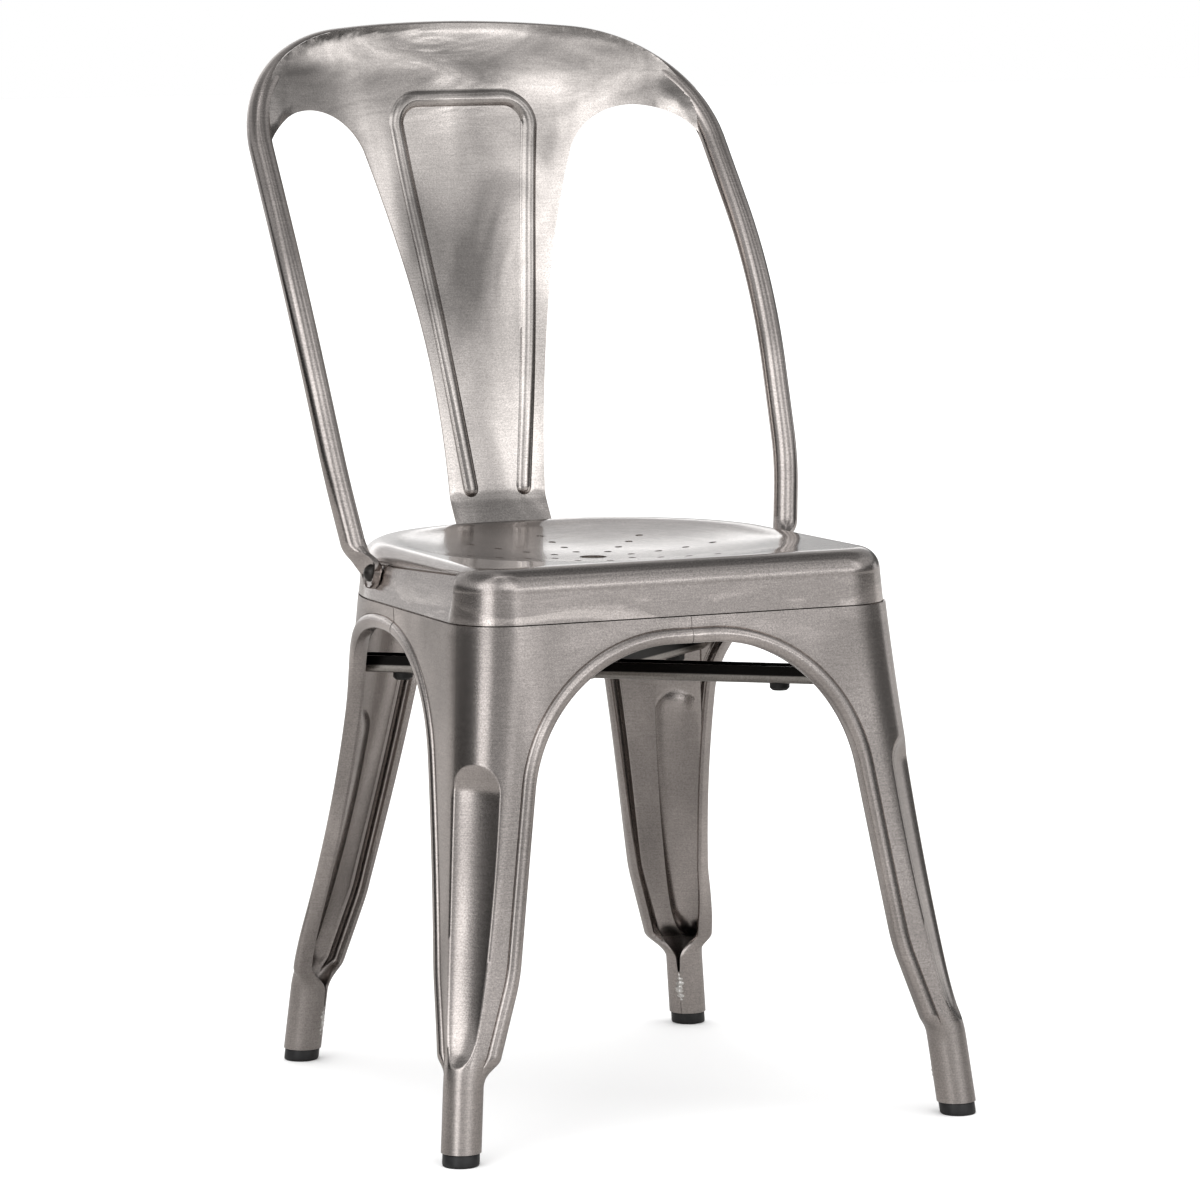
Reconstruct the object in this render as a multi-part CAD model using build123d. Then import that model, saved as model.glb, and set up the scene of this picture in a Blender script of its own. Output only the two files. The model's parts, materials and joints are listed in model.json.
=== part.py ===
from build123d import *
from math import atan2, cos, degrees, pi, sin, tan
import os

# Stamped sheet-steel cafe chair. Millimetres, +Z up, the sitter faces -Y.
# It is drawn with the seat's drain hole at X = Y = 0 and the floor at Z = 0,
# and moved at the end so that the origin lies under the middle of its box.

# Sheet and fits
sheet = 1.5
clearance = 0.3
seam_gap = 0.6
leg_joint_gap = 1.0

# Seat pan
seat_height = 446.0
skirt_depth = 43.0
seam_height = seat_height - skirt_depth
seat_front = 183.0
seat_rear = 176.0
seat_front_half = 185.0
seat_rear_half = 178.0
seat_front_radius = 44.0
seat_rear_radius = 150.0
skirt_draft = 1.0
rim_radius = 14.0
dish_radius = 163.0
dish_depth = 15.0
dish_middle_y = -3.0
drain_radius = 11.0
star_hole_radius = 3.15
star_rays = 8
star_holes_per_ray = 4
star_first_radius = 33.4
star_pitch = 24.2

# Flat pockets pressed into the sides of the seat, where the back is bolted
pocket_front_y = -140.0
pocket_rear_y = 62.0
pocket_taper = 9.0
pocket_step_drop = 15.0
pocket_step_height = seat_height - pocket_step_drop
pocket_inset = 0.5
notch_half = 16.0

# Legs and feet
foot_front_x = 213.0
foot_front_y = 222.0
foot_rear_x = 178.0
foot_rear_y = 205.0
tube_radius = 14.0
neck_height = 64.0
leg_splay = 5.8
front_rake = 7.5
rear_rake = 4.9
front_waist = 1.0
rear_waist = 4.5
side_waist = 2.5
front_waist_round = 6.0
rear_waist_round = 18.0
side_joint_y = -25.0
lap_height = 9.0
lap_depth = 10.0

# Arches between the legs: half width at the crown and at the knee, and the flank left beside the tube
arch_crown_drop = 19.0
arch_crown_height = seam_height - arch_crown_drop
front_arch_radius = 125.0
rear_arch_radius = 88.0
side_arch_radius = 120.0
knee_radius = 150.0
arch_round_share = 0.99
front_arch_crown_half = 123.0
front_arch_knee_half = 162.0
rear_arch_crown_half = 75.0
rear_arch_knee_half = 122.5
side_arch_middle_y = 2.5
side_arch_crown_half = 94.5
side_arch_knee_half = 167.5
knee_height = 138.0
front_flank_step = 5.0
rear_flank_step = 11.0
side_flank_step = 1.0
turned_edge_depth = 10.0
bead_width = 8.0
bead_height = 2.0

# Flute pressed into each leg's outer corner
flute_top_drop = 131.0
flute_top_height = seam_height - flute_top_drop
flute_bottom_rise = 20.0
flute_bottom_height = neck_height + flute_bottom_rise
flute_top_radius = 26.0
flute_bottom_radius = 12.0
flute_depth = 9.0

# Foot ends
cap_height = 9.7
cap_overhang = 0.3
cap_plug_height = 22.0
slit_width = 3.0
slit_foot_height = 36.0
funnel_width = 21.0
funnel_depth = 12.0
weld_radius = 3.0
weld_length = 15.0
weld_height = 20.0

# Back hoop: corners of its centre line on the right-hand side
hoop_radius = 10.0
hoop_wall = 1.5
hoop_seam_width = 3.0
hoop_end = (191.3, 40.0, seat_height + 3.0)
hoop_low_bend = (198.6, 52.8, seat_height + 50.0)
hoop_high_bend = (207.3, 114.2, seat_height + 196.0)
hoop_shoulder = (200.4, 259.3, seat_height + 387.0)
hoop_top_y = 304.4
hoop_top_rise = 404.5
hoop_top_z = seat_height + hoop_top_rise
bend_share = 0.48

# Flattened ends of the hoop and their bolts
eye_thickness = 7.0
eye_radius = 12.5
eye_flat_length = 12.0
bolt_y = 26.0
bolt_drop = 22.0
bolt_z = seat_height - bolt_drop
bolt_radius = 3.0
bolt_head_radius = 7.2
bolt_head_height = 5.0
washer_thickness = 1.5
washer_rim = 4.0
nut_height = 5.0
nut_across_flats = 10.0
thread_tail = 2.0

# Back splat
splat_foot_half = 43.0
splat_foot_bottom = seat_height - 37.0
splat_foot_bend = seat_height - 9.0
splat_kink_height = seat_height + 16.0
splat_kink_setback = 17.0
splat_lean = 0.168
splat_sweep = 0.000291
splat_bow_radius = 290.0
splat_bow_height = seat_height + 114.0
splat_waist_half = 60.8
splat_waist_height = seat_height + 181.0
splat_shoulder_half = 94.0
splat_shoulder_height = seat_height + 305.0
opening_top_half = 141.0
opening_top_height = seat_height + 339.0
splat_tip_half = 198.0
splat_tip_height = seat_height + 306.0

# Upper splat: its sheet steps forward and flattens until it lies on the front of the hoop's tube
arm_height = seat_height + 299.0
arm_step = 3.0
lap_on_height = seat_height + 357.0
lap_on_step = 12.0
lap_on_bow_radius = 375.0
slab_top_height = seat_height + 412.0
slab_top_step = 22.0
slab_top_bow_radius = 540.0
slab_half = 214.0
rim_lift = 6.0

# Keystone rib of the splat
rib_width = 9.0
rib_height = 2.5
rib_top_half = 63.0
rib_top_height = seat_height + 346.0
rib_foot_half = 24.0
rib_foot_height = seat_height + 20.0
rib_corner_radius = 22.0

# Splat screws
screw_half_spacing = 24.0
screw_drop = 22.0
screw_height = seat_height - screw_drop
screw_radius = 2.5
screw_head_radius = 5.0
screw_head_height = 3.2
screw_nut_across_flats = 8.0
screw_nut_height = 4.0

# Brace under the seat
brace_drop = 70.0
brace_bottom = seam_height - brace_drop
brace_height = 14.0
brace_width = 22.0
brace_edge_radius = 4.0
brace_middle_y = 9.0
brace_half_length = 400.0
brace_angle = 39.0
bumper_reach = 157.0
bumper_radius = 8.0
bumper_height = 6.0
bumper_stem_radius = 3.0
bumper_button_radius = 5.0
bumper_button_height = 2.0

over = 60.0


# Plans of the seat and legs

def plan(level, half_front, half_rear, front, rear, radius_front, radius_rear, grow):
    """Closed outline at one height: straight front, tapered sides, round rear corners."""
    corners = [
        (-half_front - grow, -front - grow, level),
        (half_front + grow, -front - grow, level),
        (half_rear + grow, rear + grow, level),
        (-half_rear - grow, rear + grow, level),
    ]
    front_round = radius_front + grow
    rear_round = radius_rear + grow
    rounds = [front_round, front_round, rear_round, rear_round]
    return FilletPolyline(*corners, radius=rounds, close=True).wire()


def seat_plan(level, grow):
    return plan(level, seat_front_half, seat_rear_half, seat_front, seat_rear,
                seat_front_radius, seat_rear_radius, grow)


def tube_axis(front, height):
    """Centre of a right-hand leg tube at one height."""
    rake = tan(front_rake * pi / 180) if front else tan(rear_rake * pi / 180)
    inward = height * tan(leg_splay * pi / 180)
    if front:
        return Vector(foot_front_x - inward, -foot_front_y + height * rake, height)
    return Vector(foot_rear_x - inward, foot_rear_y - height * rake, height)


def leg_section(height):
    """Plan numbers of the legs' skin at one height: from the tubes, in at a waist, out to the seam."""
    front_neck = tube_axis(True, neck_height)
    rear_neck = tube_axis(False, neck_height)
    low = (front_neck.X + tube_radius, rear_neck.X + tube_radius, -front_neck.Y + tube_radius,
           rear_neck.Y + tube_radius, tube_radius, tube_radius)
    high = (seat_front_half, seat_rear_half, seat_front, seat_rear, seat_front_radius, seat_rear_radius)
    drawn_in = (side_waist, side_waist, front_waist, rear_waist, -front_waist_round, -rear_waist_round)
    share = (height - neck_height) / (seam_height - neck_height)
    hollow = 4 * share * (1 - share)
    return [a + (b - a) * share - c * hollow for a, b, c in zip(low, high, drawn_in)]


def leg_corner(front, height):
    """Outermost point of a right-hand leg's rounded corner at one height, and its outward direction."""
    half_front, half_rear, front_y, rear_y, front_round, rear_round = leg_section(height)
    if front:
        outward = Vector(1, -1, 0).normalized()
        centre = Vector(half_front - front_round, front_round - front_y, height)
        return centre + outward * front_round, outward
    outward = Vector(1, 1, 0).normalized()
    centre = Vector(half_rear - rear_round, rear_y - rear_round, height)
    return centre + outward * rear_round, outward


def leg_body(grow):
    """Body whose skin the four legs follow, from the tubes up to the seam."""
    levels = (neck_height, (neck_height + seam_height) / 2, seam_height)
    return Solid.make_loft([plan(level, *leg_section(level), grow) for level in levels])


# Seat pan

def pocket(side, grow):
    """Space cut away by a seat-side pocket and the notch round its bolt; grow makes it deeper."""
    wall = seat_front_half - pocket_inset - grow
    step = pocket_step_height + grow * (2 ** 0.5 - 1)
    with BuildSketch(Plane.XZ) as profile:
        with BuildLine():
            Polyline((wall, seam_height - over), (wall, step), (wall + over, step + over),
                     (wall + over, seam_height - over), close=True)
        make_face()
    length = pocket_rear_y - pocket_front_y + 2 * grow
    block = extrude(profile.sketch, amount=-length)
    notch_start = bolt_y - notch_half - pocket_front_y
    block += Pos(wall, notch_start, seam_height) * Box(
        over, length - notch_start, 2 * over, align=(Align.MIN, Align.MIN, Align.CENTER))
    block = Pos(0, -grow, 0) * block
    turn = degrees(atan2(pocket_taper, pocket_rear_y - pocket_front_y))
    hinge = Pos(seat_front_half, pocket_front_y, 0)
    placed = hinge * Rot(0, 0, turn) * Pos(-seat_front_half, 0, 0) * block
    return placed if side > 0 else mirror(placed, about=Plane.YZ)


def pan_body(inset):
    """Seat body with its rounded rim and dished top, its skin moved inwards by inset."""
    low = seat_plan(seam_height + seam_gap, -inset)
    high = seat_plan(seat_height - inset, -inset - skirt_draft)
    body = Solid.make_loft([low, high], ruled=True)
    rim = body.edges().group_by(Axis.Z)[-1]
    body = fillet(rim, rim_radius - inset)
    ball = (dish_radius ** 2 + dish_depth ** 2) / (2 * dish_depth)
    centre_height = seat_height - dish_depth + ball
    dish = Pos(0, dish_middle_y, centre_height) * Sphere(ball + inset)
    return body - dish


def seat_pan():
    outside = pan_body(0) - pocket(1, 0) - pocket(-1, 0)
    below = extrude(make_face(seat_plan(seam_height + seam_gap, -sheet)), amount=-sheet)
    inside = pan_body(sheet) + below - pocket(1, sheet) - pocket(-1, sheet)
    pan = outside - inside
    tall = seat_height - seam_height
    pan -= Pos(0, 0, seat_height) * Cylinder(drain_radius, 2 * tall)
    for ring in range(star_holes_per_ray):
        reach = star_first_radius + ring * star_pitch
        for place in PolarLocations(reach, star_rays):
            pan -= Pos(0, 0, seat_height) * place * Cylinder(star_hole_radius, 2 * tall)
    for side in (1, -1):
        pan -= bolt_frame(side) * Cylinder(bolt_radius + clearance, over)
        pan -= screw_frame(side) * Cylinder(screw_radius + clearance, over)
    return pan


# Legs

def arch(profile_plane, middle, crown_half, crown_radius, knee_half, foot_low, foot_high, grow, depth):
    """Opening between two legs, drawn on a vertical plane and made deep; grow widens it."""
    crown = arch_crown_height + grow
    floor = -over
    drop = neck_height - floor
    low_side = middle - knee_half - grow
    high_side = middle + knee_half + grow
    low_reach = (low_side - (foot_low - grow)) / (knee_height - neck_height)
    high_reach = ((foot_high + grow) - high_side) / (knee_height - neck_height)
    turn = atan2(crown - knee_height, knee_half - crown_half)
    crown_round = min(crown_radius, arch_round_share * (crown_half + grow) / tan(turn / 2))
    with BuildSketch(profile_plane) as profile:
        with BuildLine():
            shape = FilletPolyline(
                (foot_low - grow - low_reach * drop, floor),
                (low_side, knee_height),
                (middle - crown_half - grow, crown),
                (middle + crown_half + grow, crown),
                (high_side, knee_height),
                (foot_high + grow + high_reach * drop, floor),
                radius=[knee_radius, crown_round, crown_round, knee_radius],
            )
            Line(shape @ 1, shape @ 0)
        make_face()
    return extrude(profile.sketch, amount=depth)


def front_arch(grow):
    foot = tube_axis(True, neck_height).X - tube_radius - front_flank_step
    return arch(Plane.XZ, 0, front_arch_crown_half, front_arch_radius, front_arch_knee_half,
                -foot, foot, grow, seat_front + over)


def rear_arch(grow):
    foot = tube_axis(False, neck_height).X - tube_radius - rear_flank_step
    return arch(Plane.XZ, 0, rear_arch_crown_half, rear_arch_radius, rear_arch_knee_half,
                -foot, foot, grow, -seat_rear - over)


def side_arch(grow):
    front_foot = tube_axis(True, neck_height).Y + tube_radius + side_flank_step
    rear_foot = tube_axis(False, neck_height).Y - tube_radius - side_flank_step
    return arch(Plane.YZ, side_arch_middle_y, side_arch_crown_half, side_arch_radius, side_arch_knee_half,
                front_foot, rear_foot, grow, seat_front_half + over)


def flute(front, grow):
    """Teardrop body that presses the flute into a leg's corner: a cone with a round top."""
    high, outward = leg_corner(front, flute_top_height)
    low, _ = leg_corner(front, flute_bottom_height)
    top = high + outward * (flute_top_radius - flute_depth)
    bottom = low + outward * flute_bottom_radius
    axis = (top - bottom).normalized()
    length = (top - bottom).length
    base = Plane(origin=bottom, z_dir=axis)
    cone = Cone(flute_bottom_radius + grow, flute_top_radius + grow, length,
                align=(Align.CENTER, Align.CENTER, Align.MIN))
    ball = Pos(0, 0, length) * Sphere(flute_top_radius + grow)
    return base * (cone + ball)


def oblique_tube(front, low, high, radius):
    """Leaning round bar with level ends."""
    rings = [Wire.make_circle(radius, Plane(tube_axis(front, level))) for level in (low, high)]
    return Solid.make_loft(rings, ruled=True)


def foot_tube(front):
    """Rolled foot end: a tube with a funnel and a slit on its inner side, closed by a weld."""
    tube = oblique_tube(front, cap_height + clearance, neck_height, tube_radius)
    tube -= oblique_tube(front, 0, neck_height + sheet, tube_radius - sheet)
    outward = leg_corner(front, neck_height)[1]
    inner_face = Plane(tube_axis(front, neck_height), x_dir=outward.cross(Vector(0, 0, 1)), z_dir=-outward)
    up = 1 if inner_face.y_dir.Z > 0 else -1
    slit_drop = neck_height - slit_foot_height
    with BuildSketch(inner_face) as cut:
        with BuildLine():
            Polyline(
                (-funnel_width / 2, up * sheet), (-slit_width / 2, -up * funnel_depth),
                (-slit_width / 2, -up * slit_drop), (slit_width / 2, -up * slit_drop),
                (slit_width / 2, -up * funnel_depth), (funnel_width / 2, up * sheet), close=True)
        make_face()
    tube -= extrude(cut.sketch, amount=2 * tube_radius)
    start = tube_axis(front, weld_height) - outward * tube_radius
    finish = tube_axis(front, weld_height + weld_length) - outward * tube_radius
    weld_line = Plane(origin=start, z_dir=finish - start)
    weld = Cylinder(weld_radius, (finish - start).length, align=(Align.CENTER, Align.CENTER, Align.MIN))
    weld += Sphere(weld_radius)
    weld += Pos(0, 0, (finish - start).length) * Sphere(weld_radius)
    bore = oblique_tube(front, 0, neck_height, tube_radius - sheet / 2)
    return tube + (weld_line * weld - bore)


def leg(front):
    """Right-hand leg: L-shaped sheet with flute, turned and beaded arch edges, lap and foot tube."""
    inner_x = leg_joint_gap / 2
    size = 2 * over + 2 * seam_height
    middle = side_joint_y - leg_joint_gap / 2 if front else side_joint_y + leg_joint_gap / 2
    away = Align.MAX if front else Align.MIN
    quadrant = Pos(inner_x, middle, 0) * Box(size, size, size, align=(Align.MIN, away, Align.MIN))
    skin = leg_body(0)
    sector = skin & quadrant
    wall = sector - flute(front, 0) - (leg_body(-sheet) - flute(front, sheet))
    proud = (leg_body(bead_height) & quadrant) - skin
    rim = sector - leg_body(-turned_edge_depth)
    arches = (front_arch if front else rear_arch, side_arch)
    for opening in arches:
        wall -= opening(0)
    beads = []
    for opening, other in (arches, arches[::-1]):
        turned = (opening(0) - opening(-sheet)) & rim
        bead = (opening(bead_width) - opening(0)) & proud
        beads += [turned - other(0), bead - other(0)]
    body = wall + beads + foot_tube(front) + lap(quadrant)
    return largest(body)


def lap(quadrant):
    """Strip joggled inwards at a leg's top, which the seat's skirt covers."""
    low = seam_height - lap_depth
    high = seam_height + seam_gap + lap_height
    inner = sheet + clearance + sheet
    below = extrude(make_face(seat_plan(low, -sheet)), amount=seam_height - low)
    above = extrude(make_face(seat_plan(seam_height, -sheet - clearance)), amount=high - seam_height)
    core = extrude(make_face(seat_plan(low, -inner)), amount=high - low)
    strip = (below + above - core) & quadrant
    return strip - pocket(1, sheet + clearance)


def largest(shape):
    return shape.solids().sort_by(SortBy.VOLUME)[-1]


def foot_cap(front):
    """Cap under a leg tube with a plug that sits in the tube."""
    cap = oblique_tube(front, 0, cap_height, tube_radius + cap_overhang)
    plug = oblique_tube(front, cap_height, cap_height + cap_plug_height, tube_radius - sheet - clearance)
    return cap + plug


# Back hoop

def hoop_corners():
    right = [hoop_end, hoop_low_bend, hoop_high_bend, hoop_shoulder]
    left = [(-x, y, z) for x, y, z in right[::-1]]
    return right + [(0, hoop_top_y, hoop_top_z)] + left


def bend_radii(points):
    """Largest radius for each corner that leaves its share of the shorter run beside it."""
    spots = [Vector(*point) for point in points]
    radii = []
    for before, here, after in zip(spots, spots[1:], spots[2:]):
        turn = (here - before).get_angle(after - here)
        run = min((here - before).length, (after - here).length)
        radii.append(bend_share * run / tan(turn / 2 * pi / 180))
    return radii


def hoop_path():
    corners = hoop_corners()
    return FilletPolyline(*corners, radius=bend_radii(corners)).wire()


def hoop_bar(radius):
    """Solid round bar along the hoop's centre line."""
    path = hoop_path()
    start = Plane(origin=path @ 0, x_dir=(1, 0, 0), z_dir=path % 0)
    return sweep(start * Circle(radius), path=path)


def bolt_frame(side):
    """Frame on the outer face of a seat pocket at the bolt, its Z pointing away from the seat."""
    turn = atan2(pocket_taper, pocket_rear_y - pocket_front_y)
    along = bolt_y - pocket_front_y
    wall = seat_front_half - pocket_inset / cos(turn) - along * tan(turn)
    normal = Vector(side * cos(turn), sin(turn), 0)
    return Plane(origin=(side * wall, bolt_y, bolt_z), x_dir=(0, 0, 1), z_dir=normal)


def hoop_end_piece(side):
    """Flattened end of the hoop: a tapering neck and a round eye with its bolt hole."""
    frame = bolt_frame(side)
    seat_face = clearance + eye_thickness / 2
    eye = Pos(0, 0, seat_face) * Cylinder(eye_radius, eye_thickness)
    start = Vector(side * hoop_end[0], hoop_end[1], hoop_end[2])
    bend = Vector(side * hoop_low_bend[0], hoop_low_bend[1], hoop_low_bend[2])
    rings = [Wire.make_circle(hoop_radius, Plane(start, x_dir=(1, 0, 0), z_dir=bend - start))]
    reach = frame.to_local_coords(start)
    along = Vector(reach.X, reach.Y, 0).normalized()
    for distance in (eye_flat_length, 0):
        place = frame.from_local_coords(along * distance + Vector(0, 0, seat_face))
        flat = Plane(place, x_dir=frame.z_dir * side, z_dir=frame.from_local_coords(along) - frame.origin)
        rings.append(Wire.make_ellipse(eye_thickness / 2 - clearance, eye_radius - clearance, flat))
    neck = Solid.make_loft(rings, ruled=True)
    return neck + frame * eye - frame * Cylinder(bolt_radius + clearance, over)


def back_hoop():
    path = hoop_path()
    start = Plane(origin=path @ 0, x_dir=(-1, 0, 0), z_dir=path % 0)
    ring = Circle(hoop_radius) - Circle(hoop_radius - hoop_wall)
    ring -= Pos(hoop_radius, 0) * Rectangle(2 * hoop_radius, hoop_seam_width)
    tube = sweep(start * ring, path=path)
    return tube + hoop_end_piece(1) + hoop_end_piece(-1)


# Back splat

def splat_y(level):
    """Middle of the splat's front face at one height above its kink."""
    rise = level - splat_kink_height
    return seat_rear + clearance + splat_kink_setback + splat_lean * rise + splat_sweep * rise ** 2


def slab_section(level, step, bow, front_shift, back_shift):
    """Level strip of the splat's sheet, bowed backwards once it is above the kink."""
    share = min((level - splat_kink_height) / (splat_bow_height - splat_kink_height), 1)
    sag = share * slab_half ** 2 / (2 * bow)
    strips = []
    for shift in (front_shift, back_shift):
        middle = splat_y(level) - step + shift
        ends = [Vector(side * slab_half, middle - sag, level) for side in (-1, 1)]
        if sag > 0:
            strips.append(ThreePointArc(ends[0], (0, middle, level), ends[1]))
        else:
            strips.append(Line(ends[0], ends[1]))
    front, back = strips
    sides = [Line(front @ 1, back @ 1), Line(back @ 0, front @ 0)]
    return Wire([front, sides[0], back, sides[1]])


def slab(front_shift, back_shift):
    """Curved slab that the upper splat is cut from."""
    stations = (
        (splat_kink_height, 0, splat_bow_radius),
        (splat_bow_height, 0, splat_bow_radius),
        ((splat_bow_height + arm_height) / 2, 0, splat_bow_radius),
        (arm_height, arm_step, splat_bow_radius),
        (lap_on_height, lap_on_step, lap_on_bow_radius),
        (slab_top_height, slab_top_step, slab_top_bow_radius),
    )
    return Solid.make_loft([slab_section(*station, front_shift, back_shift) for station in stations])


def splat_outline():
    """Front view of the upper splat: waisted stem and two arms, its top edge high on the hoop's tube."""
    flattened = [(x, 0, z + rim_lift) for x, _, z in hoop_corners()]
    corners = [(x, z) for x, _, z in flattened]
    with BuildSketch(Plane.XZ) as view:
        with BuildLine():
            rim = FilletPolyline(*corners, radius=bend_radii(flattened))
            Line(rim @ 1, rim @ 0)
        make_face()
        for side in (1, -1):
            with BuildLine():
                edge = ThreePointArc((side * splat_foot_half, splat_kink_height),
                                     (side * splat_waist_half, splat_waist_height),
                                     (side * splat_shoulder_half, splat_shoulder_height))
                top = ThreePointArc(edge @ 1, (side * opening_top_half, opening_top_height),
                                    (side * splat_tip_half, splat_tip_height))
                Polyline(top @ 1, (side * (splat_tip_half + over), splat_tip_height),
                         (side * (splat_tip_half + over), splat_kink_height - over),
                         (side * splat_foot_half, splat_kink_height - over), edge @ 0)
            make_face(mode=Mode.SUBTRACT)
    return view.sketch


def keystone(spread):
    """Band along the keystone rib, spread on both sides of its line and open at the bottom."""
    line = FilletPolyline(
        (-rib_foot_half, rib_foot_height), (-rib_top_half, rib_top_height),
        (rib_top_half, rib_top_height), (rib_foot_half, rib_foot_height), radius=rib_corner_radius)
    band = trace(line, line_width=2 * spread)
    return Plane.XZ * band


def prism(view):
    """Front view made deep enough to pass through the whole back."""
    return extrude(view, amount=-(hoop_top_y + over))


def splat_foot():
    """Bent foot that lies on the rear of the seat's skirt."""
    near = seat_rear + clearance
    strips = []
    stations = ((splat_foot_bottom, near), (splat_foot_bend, near),
                (splat_kink_height, splat_y(splat_kink_height)))
    for level, y in stations:
        corners = [(-splat_foot_half, y, level), (splat_foot_half, y, level),
                   (splat_foot_half, y + sheet, level), (-splat_foot_half, y + sheet, level)]
        strips.append(Polyline(*corners, close=True).wire())
    return Solid.make_loft(strips, ruled=True)


def back_splat():
    sheet_body = slab(0, sheet) & prism(splat_outline())
    rib = slab(-rib_height, sheet) & prism(keystone(rib_width / 2))
    groove = slab(sheet - rib_height, sheet + rib_height) & prism(keystone(rib_width / 2 - sheet))
    body = sheet_body + rib - groove
    body = largest(body - hoop_bar(hoop_radius + clearance))
    body += splat_foot()
    for side in (1, -1):
        body -= screw_frame(side) * Cylinder(screw_radius + clearance, over)
    return body


def screw_frame(side):
    """Frame on the seat's rear skirt at a splat screw, its Z pointing backwards."""
    place = (side * screw_half_spacing, seat_rear, screw_height)
    return Plane(origin=place, x_dir=(1, 0, 0), z_dir=(0, 1, 0))


# Fasteners

def dome_bolt(radius, head_radius, head_height, grip_top, grip_bottom):
    """Dome-headed bolt along Z: head above grip_top, shank down to grip_bottom."""
    ball = (head_radius ** 2 + head_height ** 2) / (2 * head_height)
    head = Pos(0, 0, grip_top + head_height - ball) * Sphere(ball)
    upright = (Align.CENTER, Align.CENTER, Align.MIN)
    head &= Pos(0, 0, grip_top) * Cylinder(head_radius, head_height, align=upright)
    shank = Pos(0, 0, grip_bottom) * Cylinder(radius, grip_top - grip_bottom, align=upright)
    return head + shank


def washer(radius, top):
    ring = Circle(radius + washer_rim) - Circle(radius + clearance)
    return Pos(0, 0, top - washer_thickness) * extrude(ring, amount=washer_thickness)


def nut(radius, across_flats, height, top):
    hexagon = RegularPolygon(across_flats / 2, 6, major_radius=False) - Circle(radius + clearance / 2)
    return Pos(0, 0, top - height) * extrude(hexagon, amount=height)


hoop_grip = clearance + eye_thickness + clearance / 2
hoop_washer_top = -sheet - clearance / 2
hoop_nut_top = hoop_washer_top - washer_thickness - clearance / 2
splat_grip = clearance + sheet + clearance / 2
screw_washer_top = -sheet - skirt_draft
screw_nut_top = screw_washer_top - washer_thickness - clearance / 2


def hoop_washer(side):
    return bolt_frame(side) * washer(bolt_radius, hoop_washer_top)


def hoop_nut(side):
    return bolt_frame(side) * nut(bolt_radius, nut_across_flats, nut_height, hoop_nut_top)


def splat_washer(side):
    return screw_frame(side) * washer(screw_radius, screw_washer_top)


def splat_nut(side):
    return screw_frame(side) * nut(screw_radius, screw_nut_across_flats, screw_nut_height, screw_nut_top)


def hoop_bolt(side):
    tail = hoop_nut_top - nut_height - thread_tail
    return bolt_frame(side) * dome_bolt(bolt_radius, bolt_head_radius, bolt_head_height, hoop_grip, tail)


def splat_screw(side):
    tail = screw_nut_top - screw_nut_height - thread_tail
    return screw_frame(side) * dome_bolt(screw_radius, screw_head_radius, screw_head_height, splat_grip, tail)


def pair(make):
    return [make(1), make(-1)]


# Brace under the seat

def brace_frame(side):
    """Frame at the brace's crossing, X along the bar that runs to the front corner on that side."""
    angle = brace_angle * pi / 180
    along = Vector(side * cos(angle), -sin(angle), 0)
    return Plane(origin=(0, brace_middle_y, brace_bottom), x_dir=along, z_dir=(0, 0, 1))


def channel_bar(side):
    """Upward-open channel across the whole chair, not yet trimmed to its ends."""
    outer = Pos(0, brace_height / 2) * Rectangle(brace_width, brace_height)
    low_outer = outer.vertices().group_by(Axis.Y)[0]
    outer = fillet(low_outer, brace_edge_radius)
    inner = Pos(0, brace_height / 2 + sheet) * Rectangle(brace_width - 2 * sheet, brace_height)
    low_inner = inner.vertices().group_by(Axis.Y)[0]
    inner = fillet(low_inner, brace_edge_radius - sheet)
    frame = brace_frame(side)
    section = Plane(origin=frame.origin, x_dir=frame.y_dir, z_dir=frame.x_dir)
    return extrude(section * (outer - inner), amount=brace_half_length, both=True)


def bumper_places(side):
    frame = brace_frame(side)
    return [frame.from_local_coords(Vector(reach, 0, 0)) for reach in (bumper_reach, -bumper_reach)]


def brace_parts():
    """The through bar, and the two half bars that butt against its sides."""
    room = leg_body(-sheet - clearance)
    through = channel_bar(1) & room
    other = channel_bar(-1) & room
    frame = brace_frame(1)
    block = Box(2 * brace_half_length, brace_width + 2 * clearance, 4 * brace_height)
    other -= frame * block
    bars = [through, other]
    for bar, side in ((0, 1), (1, -1)):
        for place in bumper_places(side):
            bars[bar] -= Pos(*place) * Cylinder(bumper_stem_radius + clearance, over)
    halves = bars[1].solids().sort_by(Axis.Y)
    return bars[0], halves[0], halves[-1]


def bumper(place):
    """Push-in bumper: a button under the channel, a stem through its web and a small head above."""
    button = Pos(0, 0, -clearance / 2 - bumper_height / 2) * Cylinder(bumper_radius, bumper_height)
    button = chamfer(button.edges().group_by(Axis.Z)[0], bumper_height / 3)
    grip = sheet + clearance
    stem = Pos(0, 0, -clearance / 2) * Cylinder(
        bumper_stem_radius, grip + bumper_button_height, align=(Align.CENTER, Align.CENTER, Align.MIN))
    head = Pos(0, 0, grip - clearance / 2) * Cylinder(
        bumper_button_radius, bumper_button_height, align=(Align.CENTER, Align.CENTER, Align.MIN))
    return Pos(*place) * (button + stem + head)


# The whole chair

def left(shape):
    return mirror(shape, about=Plane.YZ)


front_leg = leg(True)
rear_leg = leg(False)
through_bar, front_half_bar, rear_half_bar = brace_parts()
right_front, left_rear = bumper_places(1)
left_front, right_rear = bumper_places(-1)

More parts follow.
